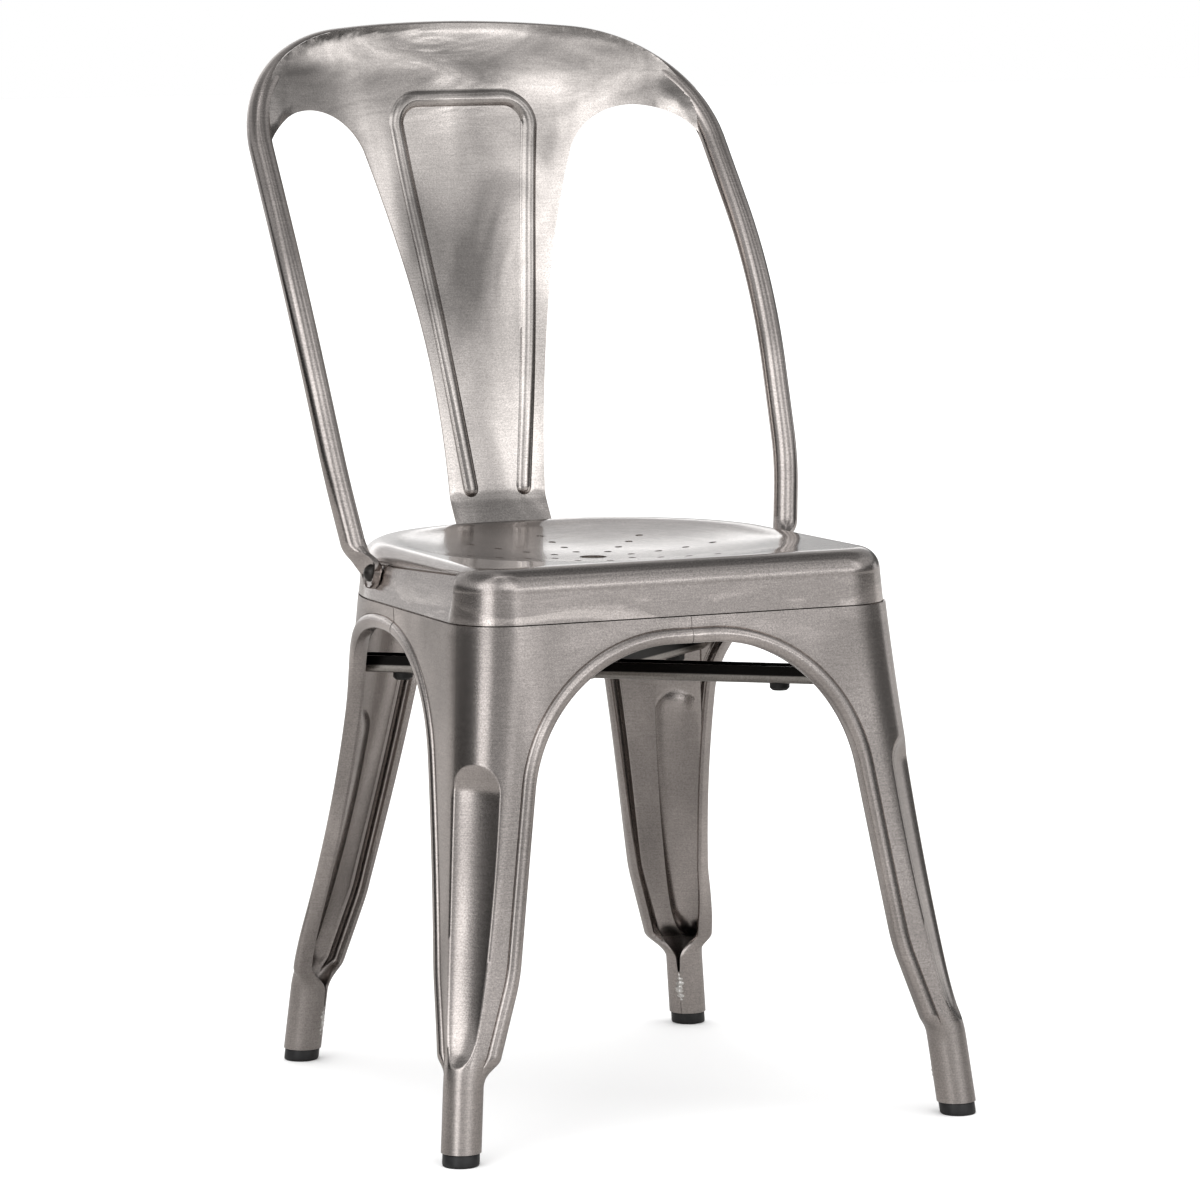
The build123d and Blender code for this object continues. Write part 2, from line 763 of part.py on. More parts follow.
nodes = {
    "seat_pan": [seat_pan()],
    "leg_front_right": [front_leg],
    "leg_front_left": [left(front_leg)],
    "leg_rear_right": [rear_leg],
    "leg_rear_left": [left(rear_leg)],
    "foot_cap_front_right": [foot_cap(True)],
    "foot_cap_front_left": [left(foot_cap(True))],
    "foot_cap_rear_right": [foot_cap(False)],
    "foot_cap_rear_left": [left(foot_cap(False))],
    "back_hoop": [back_hoop()],
    "back_splat": [back_splat()],
    "brace_through_bar": [through_bar],
    "brace_front_half_bar": [front_half_bar],
    "brace_rear_half_bar": [rear_half_bar],
    "bumper_front_right": [bumper(right_front)],
    "bumper_front_left": [bumper(left_front)],
    "bumper_rear_right": [bumper(right_rear)],
    "bumper_rear_left": [bumper(left_rear)],
    "hoop_bolts": pair(hoop_bolt),
    "hoop_washers": pair(hoop_washer),
    "hoop_nuts": pair(hoop_nut),
    "splat_screws": pair(splat_screw),
    "splat_washers": pair(splat_washer),
    "splat_nuts": pair(splat_nut),
}

box = Compound(children=[Compound(children=list(pieces)) for pieces in nodes.values()]).bounding_box()
to_origin = Pos(0, -(box.min.Y + box.max.Y) / 2, -box.min.Z)
os.makedirs("parts", exist_ok=True)
for name, pieces in nodes.items():
    solids = [solid for piece in pieces for solid in (to_origin * piece).solids()]
    export_step(Compound(children=solids) if len(solids) > 1 else solids[0], f"parts/{name}.step")
print("box", [round(v, 2) for v in box.size], "moved by", round(to_origin.position.Y, 3))
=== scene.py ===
import json
from math import atan2, cos, pi, radians, sin, tan

import bpy
import numpy as np
from mathutils import Matrix, Vector, geometry


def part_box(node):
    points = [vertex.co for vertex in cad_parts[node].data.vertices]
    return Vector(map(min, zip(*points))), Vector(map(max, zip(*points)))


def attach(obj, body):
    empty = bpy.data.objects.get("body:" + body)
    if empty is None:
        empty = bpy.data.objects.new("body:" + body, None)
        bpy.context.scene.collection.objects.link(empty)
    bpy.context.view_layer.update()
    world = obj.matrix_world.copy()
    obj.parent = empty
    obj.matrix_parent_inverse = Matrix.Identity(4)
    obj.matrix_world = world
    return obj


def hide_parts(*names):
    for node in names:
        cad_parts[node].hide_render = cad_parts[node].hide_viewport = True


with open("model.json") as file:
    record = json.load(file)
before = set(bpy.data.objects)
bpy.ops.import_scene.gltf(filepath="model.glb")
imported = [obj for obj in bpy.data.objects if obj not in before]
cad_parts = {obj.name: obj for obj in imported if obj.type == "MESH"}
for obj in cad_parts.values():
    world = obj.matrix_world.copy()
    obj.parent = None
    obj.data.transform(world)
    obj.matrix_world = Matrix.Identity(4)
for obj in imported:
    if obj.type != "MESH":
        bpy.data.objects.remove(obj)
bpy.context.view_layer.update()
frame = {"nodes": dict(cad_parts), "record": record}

# Sizes in millimetres, in the drawing gauge: drain hole at X = Y = 0, floor at Z = 0
sheet = 1.5
clearance = 0.3

# Seat pan
seam_height = 403.0
seam_gap = 0.9
seat_height = 446.0
seat_front = 183.0
seat_rear = 176.0
seat_front_half = 185.0
seat_rear_half = 178.0
seat_front_radius = 44.0
seat_rear_radius = 150.0
skirt_bottom = seam_height + seam_gap
skirt_draft = 4.4
skirt_slope = skirt_draft / (seat_height - skirt_bottom)
rim_radius = 18.0
dish_radius = 163.0
dish_depth = 15.0
dish_middle_y = -3.0
dish_softness = 0.6
dish_roll = 18.0
drain_radius = 11.0
star_hole_radius = 3.15
star_rays = 8
star_holes_per_ray = 4
star_first_radius = 33.4
star_pitch = 24.2
seat_grid = 6.0
seat_grid_reach = 190.0
rim_margin = 4.0
hole_margin = 2.5
least_area = 0.02

# Side pockets of the seat
pocket_front_y = -140.0
pocket_rear_y = 62.0
pocket_fade_y = 46.0
pocket_taper = 9.0
pocket_inset = 0.5
pocket_front_press = 1.6
pocket_ledge_press = 1.3
pocket_ceiling_front = 441.0
pocket_ceiling_fall = 10.0
ledge_rise = 0.7
ledge_groove = 1.6

# Legs: skin from the foot tubes up to the seat's plan
tube_radius = 14.0
neck_height = 64.0
leg_splay = 5.8
side_waist = 2.5
side_joint_y = -25.0
leg_joint_gap = 0.04
front_end = {"foot": (213.0, 222.0), "rake": 7.5, "half": seat_front_half, "depth": seat_front,
             "corner": seat_front_radius, "waist": 1.0, "waist_round": 6.0}
rear_end = {"foot": (178.0, 205.0), "rake": 4.9, "half": seat_rear_half, "depth": seat_rear,
            "corner": seat_rear_radius, "waist": 4.5, "waist_round": 18.0}
ends = {True: front_end, False: rear_end}

# Arches between the legs, with the bead and the turned lip along their edges
arch_crown_height = 384.0
arch_shoulders = (345.0, 340.0)
knee_height = 138.0
knee_radius = 150.0
front_arch = {"crown": 123.0, "knee": 162.0, "radius": 125.0, "flank": 5.0}
rear_arch = {"crown": 75.0, "knee": 122.5, "radius": 88.0, "flank": 11.0}
side_arch = {"crown": 94.5, "knee": 167.5, "radius": 120.0, "flank": 1.0, "middle": 2.5}
bead_width = 9.0
bead_height = 2.6
groove_depth = 0.7
groove_width = 2.2
turned_depth = 9.0
bead_stations = np.array([0.0, 0.35, 1.2, 2.6, 4.5, 6.4, 7.8, 8.65, 9.0, 10.1, 11.2, 12.6])
lip_stations = [(turned_depth - 1.4, 3.0), (turned_depth, 1.6), (turned_depth, 0.5), (turned_depth - 1.0, 0.0),
                (turned_depth * 0.6, 0.0), (turned_depth * 0.3, 0.0), (0.6, 0.0)]

# Trough behind the seam under the seat: distance in from the leg's skin, and rise
trough_stations = [(1.7, -0.4), (5.5, -3.0), (3.2, 3.5)]

# Flute of each leg's corner
flute_half = 20.7
flute_centre_height = 277.0
flute_tip_height = 74.0
flute_hollow = 3.4
flute_taper = 0.355
flute_taper_power = 1.87
flute_tip_power = 16
flute_rise_span = (45.0, 80.0)
corner_least_width = 6.0

# Feet: rolled tube, slit, weld and cap
cap_height = 9.7
roll_span = (58.0, 84.0)
slit_closed = radians(0.4)
slit_opens = radians(6)
slit_span = (34.0, 62.0)
weld_span = (18.0, 47.0)
weld_middle = 32.5
weld_half = 14.6
weld_sunk = 0.3
cap_profile = [(11.5, 0.0), (13.2, 0.0), (13.9, 0.5), (14.25, 1.4), (14.3, 3.0), (14.3, 8.9), (14.1, 9.45),
               (13.6, cap_height), (12.1, 9.8), (12.1, 31.0), (11.2, 31.6)]

# Rows and columns of a leg's mesh
leg_levels = np.concatenate([np.linspace(cap_height + 0.3, 50, 9)[:-1], np.linspace(50, 100, 51),
                             np.linspace(100, seam_height, 100)[1:]])
leg_rows = len(leg_levels)
crown_rows = 40
flank_columns = 9
corner_angles = np.linspace(-pi / 2, pi / 2, 19)

# Back hoop and its bolts
hoop_radius = 10.0
hoop_right = [(191.3, 40.0, 449.0), (198.6, 52.8, 496.0), (207.3, 114.2, 642.0), (200.4, 259.3, 833.0)]
hoop_top = (0, 304.4, 850.5)
hoop_seam_turn = 120.0
hoop_seam_rise = 700.0
hoop_slit = radians(8)
hoop_slit_depth = 1.5
bend_share = 0.48
bolt_y = 26.0
bolt_z = 424.0
bolt_radius = 3.0
bolt_head_radius = 7.2
bolt_head_height = 5.0
bolt_head_edge = 0.9
eye_thickness = 7.0
eye_radius = 12.5
channel_depth = 1.6
channel_bend = 1.6
mouth_half = radians(52)

# Back splat
splat_foot_half = 43.0
splat_foot_bottom = 409.0
splat_foot_bend = 437.0
splat_kink_height = 462.0
splat_kink_setback = 17.3
splat_lean = 0.168
splat_sweep = 0.000291
splat_bow_height = 560.0
splat_slab_half = 214.0
rim_lift = 8.4
rim_span = (768.0, 822.0)
lap_span = (762.0, 788.0)
lap_reach = (9.0, 30.0)
lap_clearance = 0.25
splat_bend_softness = 7.0
arm_setback = 7.6
splat_waist = (60.8, 627.0)
splat_shoulder = (94.0, 751.0)
opening_top = (141.0, 785.0)
splat_tip = (198.0, 752.0)
rib_width = 13.5
rib_height = 3.8
rib_top = (63.0, 792.0)
rib_foot = (24.0, 470.0)
rib_corner_radius = 22.0
rib_stations = (0.25, 0.5, 0.7, 0.86, 1.0, 1.15)
splat_grid = 5.0
splat_grid_half = 205.0
splat_grid_top = 860.0
outline_margin = 2.2
rib_margin = 2.0

# Splat's height, step forward and radius of its bow
splat_stations = [(splat_kink_height, 0, 290.0), (splat_bow_height, 0, 290.0), (652.5, 0, 290.0), (745.0, 3.0, 290.0),
                  (803.0, 12.0, 375.0), (858.0, 22.0, 540.0)]

# Surroundings: bearing in degrees from the chair's front towards its left, and brightness
level_stops = [(-180, 1.2), (-165, 1.0), (-145, 0.12), (-120, 0.1), (-110, 0.8), (-102, 0.8), (-94, 0.08),
               (-52, 0.08), (-36, 0.34), (-24, 0.68), (-10, 1.0), (4, 0.38), (36, 0.38), (45, 2.1), (57, 2.1),
               (68, 0.2), (78, 0.03), (132, 0.02), (146, 0.5), (158, 0.66), (172, 1.1), (180, 1.2)]
low_stops = [(-180, 1.9), (-150, 1.7), (-135, 0.15), (-84, 0.15), (-60, 0.3), (-44, 1.0), (-30, 2.2), (-12, 2.2),
             (2, 0.45), (34, 0.35), (46, 1.35), (58, 1.35), (70, 0.12), (132, 0.05), (150, 1.0), (180, 1.9)]
high_stops = [(-180, 0.8), (-120, 0.35), (-84, 0.5), (-66, 0.45), (-50, 1.3), (-34, 0.65), (-18, 0.75), (-6, 1.5),
              (10, 1.5), (22, 0.8), (36, 0.7), (48, 1.8), (70, 1.8), (84, 0.5), (130, 0.5), (180, 0.8)]

# Surroundings by height in degrees: where the low and high bands begin, and how bright it is overhead
low_climb = [(-180, 0.0), (8, 0.0), (12, 1.0), (180, 1.0)]
high_climb = [(-180, 0.0), (13, 0.0), (19, 1.0), (180, 1.0)]
above_stops = [(-180, 1.0), (36, 1.0), (50, 0.5), (70, 0.42), (84, 0.8), (180, 0.8)]

# The drawing gauge's Y = 0 in the row frame, from the seat's front edge
gauge_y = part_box("seat_pan")[0].y * 1000 + seat_front


# Small helpers

def unit(vectors):
    return vectors / np.linalg.norm(vectors, axis=-1, keepdims=True)


def right_of(tangents):
    """Unit vectors to the right of directions in a plane."""
    tangents = unit(tangents)
    return np.stack([tangents[:, 1], -tangents[:, 0]], -1)


def smooth(value, low, high):
    t = np.clip((value - low) / (high - low), 0, 1)
    return t * t * (3 - 2 * t)


def soft_ramp(value):
    """Zero below nought and the value itself above, joined by a small bend."""
    return 0.5 * (value + np.sqrt(value ** 2 + splat_bend_softness))


def full_turn(count):
    return 2 * pi * np.arange(count) / count


def ball_radius(half, rise):
    """Radius of the ball whose cap has a given half width and rise."""
    return (half ** 2 + rise ** 2) / (2 * rise)


def lengths_along(path):
    """Distance along a path at each of its points."""
    return np.concatenate([[0], np.cumsum(np.linalg.norm(np.diff(path, axis=0), axis=1))])


def spaced(path, count):
    """The same path with evenly spaced points."""
    run = lengths_along(path)
    at = np.linspace(0, run[-1], count)
    return np.stack([np.interp(at, run, path[:, k]) for k in range(path.shape[1])], -1)


def rounded(points, radii, step):
    """Points along a polyline in two or three dimensions whose corners are arcs."""
    points = [np.array(p, float) for p in points]
    path = [points[0]]
    for before, here, after, radius in zip(points, points[1:], points[2:], radii):
        a, b = unit(before - here), unit(after - here)
        half = np.arccos(np.clip(a @ b, -1, 1)) / 2
        centre = here + unit(a + b) * radius / np.sin(half)
        sweep = pi - 2 * half
        count = max(2, int(radius * sweep / step))
        first = (here + a * radius / np.tan(half) - centre) / radius
        for angle in np.linspace(0, sweep, count + 1):
            path.append(centre + radius * (first * cos(angle) - a * sin(angle)))
    path.append(points[-1])
    dense = [path[0]]
    for here, after in zip(path, path[1:]):
        count = max(1, int(np.linalg.norm(after - here) / step))
        dense += [here + (after - here) * k / count for k in range(1, count + 1)]
    return np.array(dense)


def arc_through(first, middle, last, count):
    """Points along the circle through three points, from the first to the last."""
    a, b, c = (complex(*point) for point in (first, middle, last))
    w = (c - a) / (b - a)
    centre = a + (b - a) * (w - abs(w) ** 2) / (2j * w.imag)
    angles = np.unwrap(np.angle([a - centre, b - centre, c - centre]))
    arc = centre + abs(a - centre) * np.exp(1j * np.linspace(angles[0], angles[2], count))
    return np.stack([arc.real, arc.imag], -1)


def nearest(spots, line):
    """Which point of a line is nearest to each spot."""
    return np.array([np.linalg.norm(line - spot, axis=1).argmin() for spot in spots])


def distance_to(spots, line):
    return np.linalg.norm(line[nearest(spots, line)] - spots, axis=1)


def inside_outline(spots, outline):
    """Which spots lie inside a closed outline."""
    inside = np.zeros(len(spots), bool)
    for (ax, ay), (bx, by) in zip(outline, np.roll(outline, -1, 0)):
        if ay != by:
            crosses = (ay > spots[:, 1]) != (by > spots[:, 1])
            inside ^= crosses & (spots[:, 0] < (bx - ax) * (spots[:, 1] - ay) / (by - ay) + ax)
    return inside


# Meshes

def grid_faces(rows, columns, first=0, closed=False):
    """Quads of a grid of vertices stored row by row."""
    faces = []
    for a in range(first, first + (rows - 1) * columns, columns):
        for j in range(columns if closed else columns - 1):
            k = (j + 1) % columns
            faces.append((a + j, a + k, a + columns + k, a + columns + j))
    return faces


def tube_faces(rows, columns, first=0):
    """Quads between closed rings, and a face over each end."""
    last = first + (rows - 1) * columns
    lids = [tuple(range(first, first + columns))[::-1], tuple(range(last, last + columns))]
    return grid_faces(rows, columns, first, closed=True) + lids


def flipped(faces, flip):
    return [f[::-1] for f in faces] if flip else faces


def triangulate(spots, loops, merge):
    """Flat points and triangles; the first spots form closed loops of the given counts, kept as edges."""
    edges, first = [], 0
    for count in loops:
        edges += [(first + k, first + (k + 1) % count) for k in range(count)]
        first += count
    result = geometry.delaunay_2d_cdt([Vector(spot) for spot in spots], edges, [], 0, merge)
    return np.array([tuple(v) for v in result[0]]), result[2]


def turned_to(points, triangle, direction):
    """The triangle with its corners in the order that makes it face a direction."""
    a, b, c = triangle
    normal = np.cross(points[b] - points[a], points[c] - points[a])
    return (a, b, c) if normal @ np.array(direction) > 0 else (a, c, b)


def vertex_normals(points, faces):
    """Area-weighted vertex normals of a mesh of quads and triangles."""
    normals = np.zeros_like(points)
    for face in faces:
        p = points[list(face)]
        n = np.cross(p[1] - p[0], p[2] - p[0])
        if len(face) == 4:
            n = n + np.cross(p[2] - p[0], p[3] - p[0])
        for index in face:
            normals[index] += n
    length = np.linalg.norm(normals, axis=1, keepdims=True)
    return normals / np.maximum(length, 1e-9)


def thicken(points, faces):
    """Closed shell: the skin, a second skin a sheet's thickness behind it, and rims along the open edges."""
    count = len(points)
    everything = np.concatenate([points, points - vertex_normals(points, faces) * sheet])
    shell = [tuple(f) for f in faces]
    shell += [tuple(i + count for i in f[::-1]) for f in faces]
    edges = dict.fromkeys(edge for f in faces for edge in zip(f, f[1:] + f[:1]))
    shell += [(b, a, a + count, b + count) for a, b in edges if (b, a) not in edges]
    return everything, shell


def new_object(name, data):
    made = bpy.data.objects.new(name, data)
    bpy.context.scene.collection.objects.link(made)
    return made


def make_piece(name, points, faces, material, node, slot, crease):
    """Mesh object from points in the drawing gauge, riding on the chair's one body."""
    placed = (np.asarray(points, float) + np.array([0, gauge_y, 0])) / 1000
    mesh = bpy.data.meshes.new(name)
    mesh.from_pydata(placed.tolist(), [], [tuple(int(i) for i in f) for f in faces])
    mesh.validate()
    mesh.shade_smooth()
    mesh.set_sharp_from_angle(angle=radians(crease))
    mesh.update()
    piece = new_object(name, mesh)
    piece.data.materials.append(material)
    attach(piece, "root")
    if node:
        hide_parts(node)


def make_sheet(node, skin, faces, material, crease=38):
    make_piece(f"{node}_sheet", *thicken(skin, faces), material, node, "sheet_steel", crease)


# Nodes of materials and surroundings

def set_inputs(tree, node, inputs):
    """Set a node's inputs to values, or link them to other nodes' outputs."""
    for key, value in inputs.items():
        if isinstance(value, bpy.types.NodeSocket):
            tree.links.new(value, node.inputs[key])
        else:
            node.inputs[key].default_value = value


def add_node(tree, kind, inputs, **settings):
    node = tree.nodes.new(kind)
    for key, value in settings.items():
        setattr(node, key, value)
    set_inputs(tree, node, inputs)
    return node


def maths(tree, operation, *values):
    return add_node(tree, "ShaderNodeMath", dict(enumerate(values)), operation=operation).outputs["Value"]


def mix(tree, share, first, second, **settings):
    """Mix of two colours, or of two numbers where data_type says FLOAT."""
    settings = {"data_type": "RGBA", **settings}
    return add_node(tree, "ShaderNodeMix", {"Factor": share, "A": first, "B": second}, **settings).outputs["Result"]


def multiply(tree, first, second):
    return mix(tree, 1.0, first, second, blend_type="MULTIPLY")


def ramp(tree, value, stops, interpolation="LINEAR"):
    """Grey levels along one value."""
    node = add_node(tree, "ShaderNodeValToRGB", {"Fac": value})
    node.color_ramp.interpolation = interpolation
    elements = node.color_ramp.elements
    elements[0].position, elements[1].position = stops[0][0], stops[-1][0]
    elements[0].color, elements[1].color = ((*[level] * 3, 1) for level in (stops[0][1], stops[-1][1]))
    for position, level in stops[1:-1]:
        elements.new(position).color = (*[level] * 3, 1)
    return node.outputs["Color"]


def map_range(tree, value, low, high, below, above):
    inputs = {"Value": value, "From Min": low, "From Max": high, "To Min": below, "To Max": above}
    return add_node(tree, "ShaderNodeMapRange", inputs).outputs["Result"]


def object_place(tree):
    return add_node(tree, "ShaderNodeTexCoord", {}).outputs["Object"]


def height_step(tree, low, high, below, above):
    """A value that changes between two heights of the chair, in metres."""
    split = add_node(tree, "ShaderNodeSeparateXYZ", {"Vector": object_place(tree)})
    return map_range(tree, split.outputs["Z"], low, high, below, above)


def drawn_out(tree, scale, tilt=0.0):
    """Object coordinates stretched along the axes and tilted about Y, in degrees."""
    inputs = {"Vector": object_place(tree), "Rotation": (0.0, radians(tilt), 0.0), "Scale": scale}
    return add_node(tree, "ShaderNodeMapping", inputs).outputs["Vector"]


def noise(tree, vector, **inputs):
    return add_node(tree, "ShaderNodeTexNoise", {"Vector": vector, **inputs}).outputs["Fac"]


def bump(tree, **inputs):
    return add_node(tree, "ShaderNodeBump", inputs).outputs["Normal"]


# Materials

def new_material(name):
    material = bpy.data.materials.new(name)
    material.use_nodes = True
    return material, material.node_tree, material.node_tree.nodes["Principled BSDF"]


def steel(name, tone, gloss, polish_and_sheen, cloud_scale, swirl, lacquer, streak=1.0, sheen_streaks_above=None):
    """Raw sheet steel: cloudy polishing marks with painted sheen (brighter and darker patches in the colour that
    stand in for patchy reflections), fine brushing marks and speckle under clear lacquer.
    """
    material, tree, shader = new_material(name)
    cloud = noise(tree, drawn_out(tree, (1.0, 1.0, streak), 8), Scale=cloud_scale, Detail=2.5, Roughness=0.45,
                  Distortion=0.8)
    # Above one height the patches turn into streaks across the sheet: painted sheen, smeared highlights laid into the
    # colour.
    if sheen_streaks_above:
        across = noise(tree, drawn_out(tree, (0.42, 1.0, 1.3), -10), Scale=cloud_scale * 1.1, Detail=3.0,
                       Roughness=0.5, Distortion=1.5)
        share = height_step(tree, sheen_streaks_above - 0.05, sheen_streaks_above + 0.03, 0.0, 1.0)
        cloud = mix(tree, share, cloud, across, data_type="FLOAT")
    speckle = noise(tree, object_place(tree), Scale=750.0, Detail=2.0, Roughness=0.7)
    brush = noise(tree, drawn_out(tree, (60.0, 60.0, 1400.0), 38), Scale=1.0, Detail=3.0, Roughness=0.6)
    # Brighter and darker patches in the colour: polishing marks, and painted sheen standing in for the patchy
    # reflections of polished steel.
    polish_and_sheen_tints = [(0.34, 1 - polish_and_sheen), (0.47, 1 - polish_and_sheen * 0.3), (0.56, 1 + polish_and_sheen * 0.3), (0.67, 1 + polish_and_sheen)]
    colour = multiply(tree, (*tone, 1), ramp(tree, cloud, polish_and_sheen_tints))
    colour = multiply(tree, colour, ramp(tree, speckle, [(0.3, 0.8), (0.7, 1.2)]))
    colour = multiply(tree, colour, ramp(tree, brush, [(0.3, 0.9), (0.7, 1.1)]))
    broad = bump(tree, Strength=swirl, Distance=0.003, Height=cloud)
    fine = bump(tree, Strength=0.08, Distance=0.0004, Height=speckle, Normal=broad)
    rough = map_range(tree, cloud, 0.3, 0.7, gloss + 0.06, gloss - 0.04)
    set_inputs(tree, shader, {
        "Base Color": colour, "Roughness": rough, "Normal": fine, "Metallic": 1.0, "Coat Weight": lacquer,
        "Coat Roughness": 0.06})
    return material


def plain(name, tone, roughness, grain, metallic=0.0):
    """Moulded plastic, rubber or blackened metal with a little tone and grain."""
    material, tree, shader = new_material(name)
    mottle = noise(tree, object_place(tree), Scale=260.0, Detail=3.0)
    set_inputs(tree, shader, {
        "Base Color": multiply(tree, (*tone, 1), ramp(tree, mottle, [(0.3, 0.75), (0.7, 1.25)])),
        "Normal": bump(tree, Strength=grain, Distance=0.0004, Height=mottle),
        "Roughness": roughness, "Metallic": metallic})
    return material


def shader_input(material, name):
    """A material's nodes, one input of its shader, and what feeds it."""
    socket = material.node_tree.nodes["Principled BSDF"].inputs[name]
    return material.node_tree, socket, socket.links[0].from_socket


def paint_shade_above(material, height):
    """Painted shade: the bar is black above one height, standing in for the shade under the seat and the dark
    reflection of the seat's underside.
    """
    tree, socket, colour = shader_input(material, "Base Color")
    black = height_step(tree, height - 0.0006, height + 0.0006, 1.0, 0.03)
    tree.links.new(multiply(tree, colour, black), socket)


def satin_below(material, height, amount):
    """Duller finish below one height, where the polishing stops."""
    tree, socket, rough = shader_input(material, "Roughness")
    tree.links.new(maths(tree, "ADD", rough, height_step(tree, height - 0.004, height, amount, 0.0)), socket)


def paint_sheen_by_seam(material, low, high, below, above):
    """Brighter patches in the colour along the seam under the seat, fading between two heights: the polishing smears
    there, laid in as painted highlight.
    """
    tree, socket, colour = shader_input(material, "Base Color")
    patches = noise(tree, drawn_out(tree, (0.8, 0.8, 3.0)), Scale=13.0, Detail=4.0, Roughness=0.55, Distortion=1.2)
    bright = map_range(tree, patches, 0.5, 0.6, 0.0, 1.0)
    gain = maths(tree, "MULTIPLY_ADD", bright, height_step(tree, low, high, below, above), 1.0)
    tree.links.new(multiply(tree, colour, gain), socket)


warm_grey = (0.478, 0.438, 0.418)
sheet_steel = steel("sheet_steel_look", warm_grey, 0.21, 0.24, 12.0, 0.10, 0.1, 0.4)
# The splat's copy of the legs' sheet steel: a lighter tone, strong patches and streaks across its top, all painted
# sheen.
splat_steel = steel("splat_steel_look", (0.53, 0.494, 0.472), 0.17, 0.55, 13.0, 0.5, 0.1, 0.35, 0.8)
seat_steel = steel("seat_steel_look", warm_grey, 0.13, 0.10, 8.0, 0.04, 0.3)
tube_steel = steel("tube_steel_look", warm_grey, 0.17, 0.15, 10.0, 0.05, 0.1)
# The brace is the same steel as the rest with a darker tone: painted shade from under the seat.
brace_steel = steel("brace_steel_look", (0.34, 0.32, 0.30), 0.32, 0.2, 9.0, 0.1, 0.0)
weld_steel = steel("weld_look", (0.86, 0.84, 0.81), 0.34, 0.4, 120.0, 0.4, 0.0)
plated = steel("plated_look", (0.55, 0.55, 0.53), 0.25, 0.1, 30.0, 0.02, 0.0)
cap_black = plain("cap_black_look", (0.016, 0.016, 0.017), 0.42, 0.1)
bumper_black = plain("bumper_black_look", (0.014, 0.014, 0.014), 0.6, 0.2)
bolt_black = plain("bolt_black_look", (0.05, 0.047, 0.045), 0.28, 0.05, 0.8)
# Painted shade: the brace's upper part is black.
paint_shade_above(brace_steel, 0.3392)
# Painted highlight: brighter patches on the skirt's lower part and on the legs' tops by the seam.
paint_sheen_by_seam(seat_steel, 0.408, 0.428, 0.55, 0.0)
paint_sheen_by_seam(sheet_steel, 0.37, 0.402, 0.0, 0.2)
satin_below(seat_steel, 0.441, 0.09)
satin_below(sheet_steel, 0.076, 0.13)


# Skin of the legs, in x, outward distance d along Y, and height

def chair_corners():
    """The four corners: whether at the front, the signs of X and Y, and the name."""
    for front, along, end_name in ((True, -1, "front"), (False, 1, "rear")):
        for side, side_name in ((1, "right"), (-1, "left")):
            yield front, side, along, f"{end_name}_{side_name}"


def tube_axis(front, height):
    """Centre of a right-hand leg tube as x and d."""
    end = ends[front]
    return np.array([end["foot"][0] - height * tan(radians(leg_splay)),
                     end["foot"][1] - height * tan(radians(end["rake"]))])


def tube_ring(front, height, reach, angle, side=1, along=1):
    """Points round the centre of a leg tube at one height, mirrored by the signs of X and Y."""
    x, d = tube_axis(front, height)
    return np.stack([side * (x + reach * np.cos(angle)), along * (d + reach * np.sin(angle)),
                     np.full(len(angle), height)], -1)


def leg_share(height):
    return (np.maximum(height, neck_height) - neck_height) / (seam_height - neck_height)


def leg_section(front, height):
    """Half width, depth, corner radius and side slope of the legs' skin at one height."""
    share = leg_share(height)
    hollow = 4 * share * (1 - share)
    half, depth = {}, {}
    for key, end in ends.items():
        x, d = tube_axis(key, neck_height) + tube_radius
        half[key] = x + (end["half"] - x) * share - side_waist * hollow
        depth[key] = d + (end["depth"] - d) * share - end["waist"] * hollow
    end = ends[front]
    radius = tube_radius + (end["corner"] - tube_radius) * share + end["waist_round"] * hollow
    return half[front], depth[front], radius, (half[not front] - half[front]) / (depth[True] + depth[False])


def skin_at(front, around, height):
    """Point and plan normal on the legs' skin; around is the distance from the corner's middle."""
    half, depth, radius, slope = leg_section(front, height)
    quarter = radius * pi / 4
    angle = pi / 4 - np.clip(around / radius, -pi / 4, pi / 4)
    x = half - radius + radius * np.cos(angle) + np.minimum(around + quarter, 0)
    d = depth - radius + radius * np.sin(angle) - np.maximum(around - quarter, 0)
    x = x + slope * (depth - d)
    return np.stack([x, d, height + 0 * x], -1), np.stack([np.cos(angle), np.sin(angle), 0 * x], -1)


def around_at(front, face, reach, height):
    """Distance from the corner's middle to the point at x on the end face (0), or at d on the side face (1)."""
    half, depth, radius, _ = leg_section(front, height)
    past = reach - ((half, depth)[face] - radius)
    around = radius * (np.arcsin(np.clip(past / radius, 0, 1)) - pi / 4) + np.minimum(past, 0)
    return -around if face else around


# Legs

def arch_line(front, face):
    """Half of an arch opening from the foot up to the joint, as face coordinate and height."""
    sign = -1 if front else 1
    spec = side_arch if face else front_arch if front else rear_arch
    middle = sign * side_arch["middle"] if face else 0
    foot = tube_axis(front, neck_height)[face] - tube_radius - spec["flank"]
    corners = [(foot, neck_height), (middle + spec["knee"], knee_height), (middle + spec["crown"], arch_crown_height),
               (middle - spec["crown"], arch_crown_height)]
    if face:
        corners.append((middle - spec["knee"], knee_height))
    path = rounded(corners, [knee_radius] + [spec["radius"]] * (len(corners) - 3), 1.0)
    joint = sign * side_joint_y if face else 0
    return path[path[:, 0] >= joint + leg_joint_gap / 2]


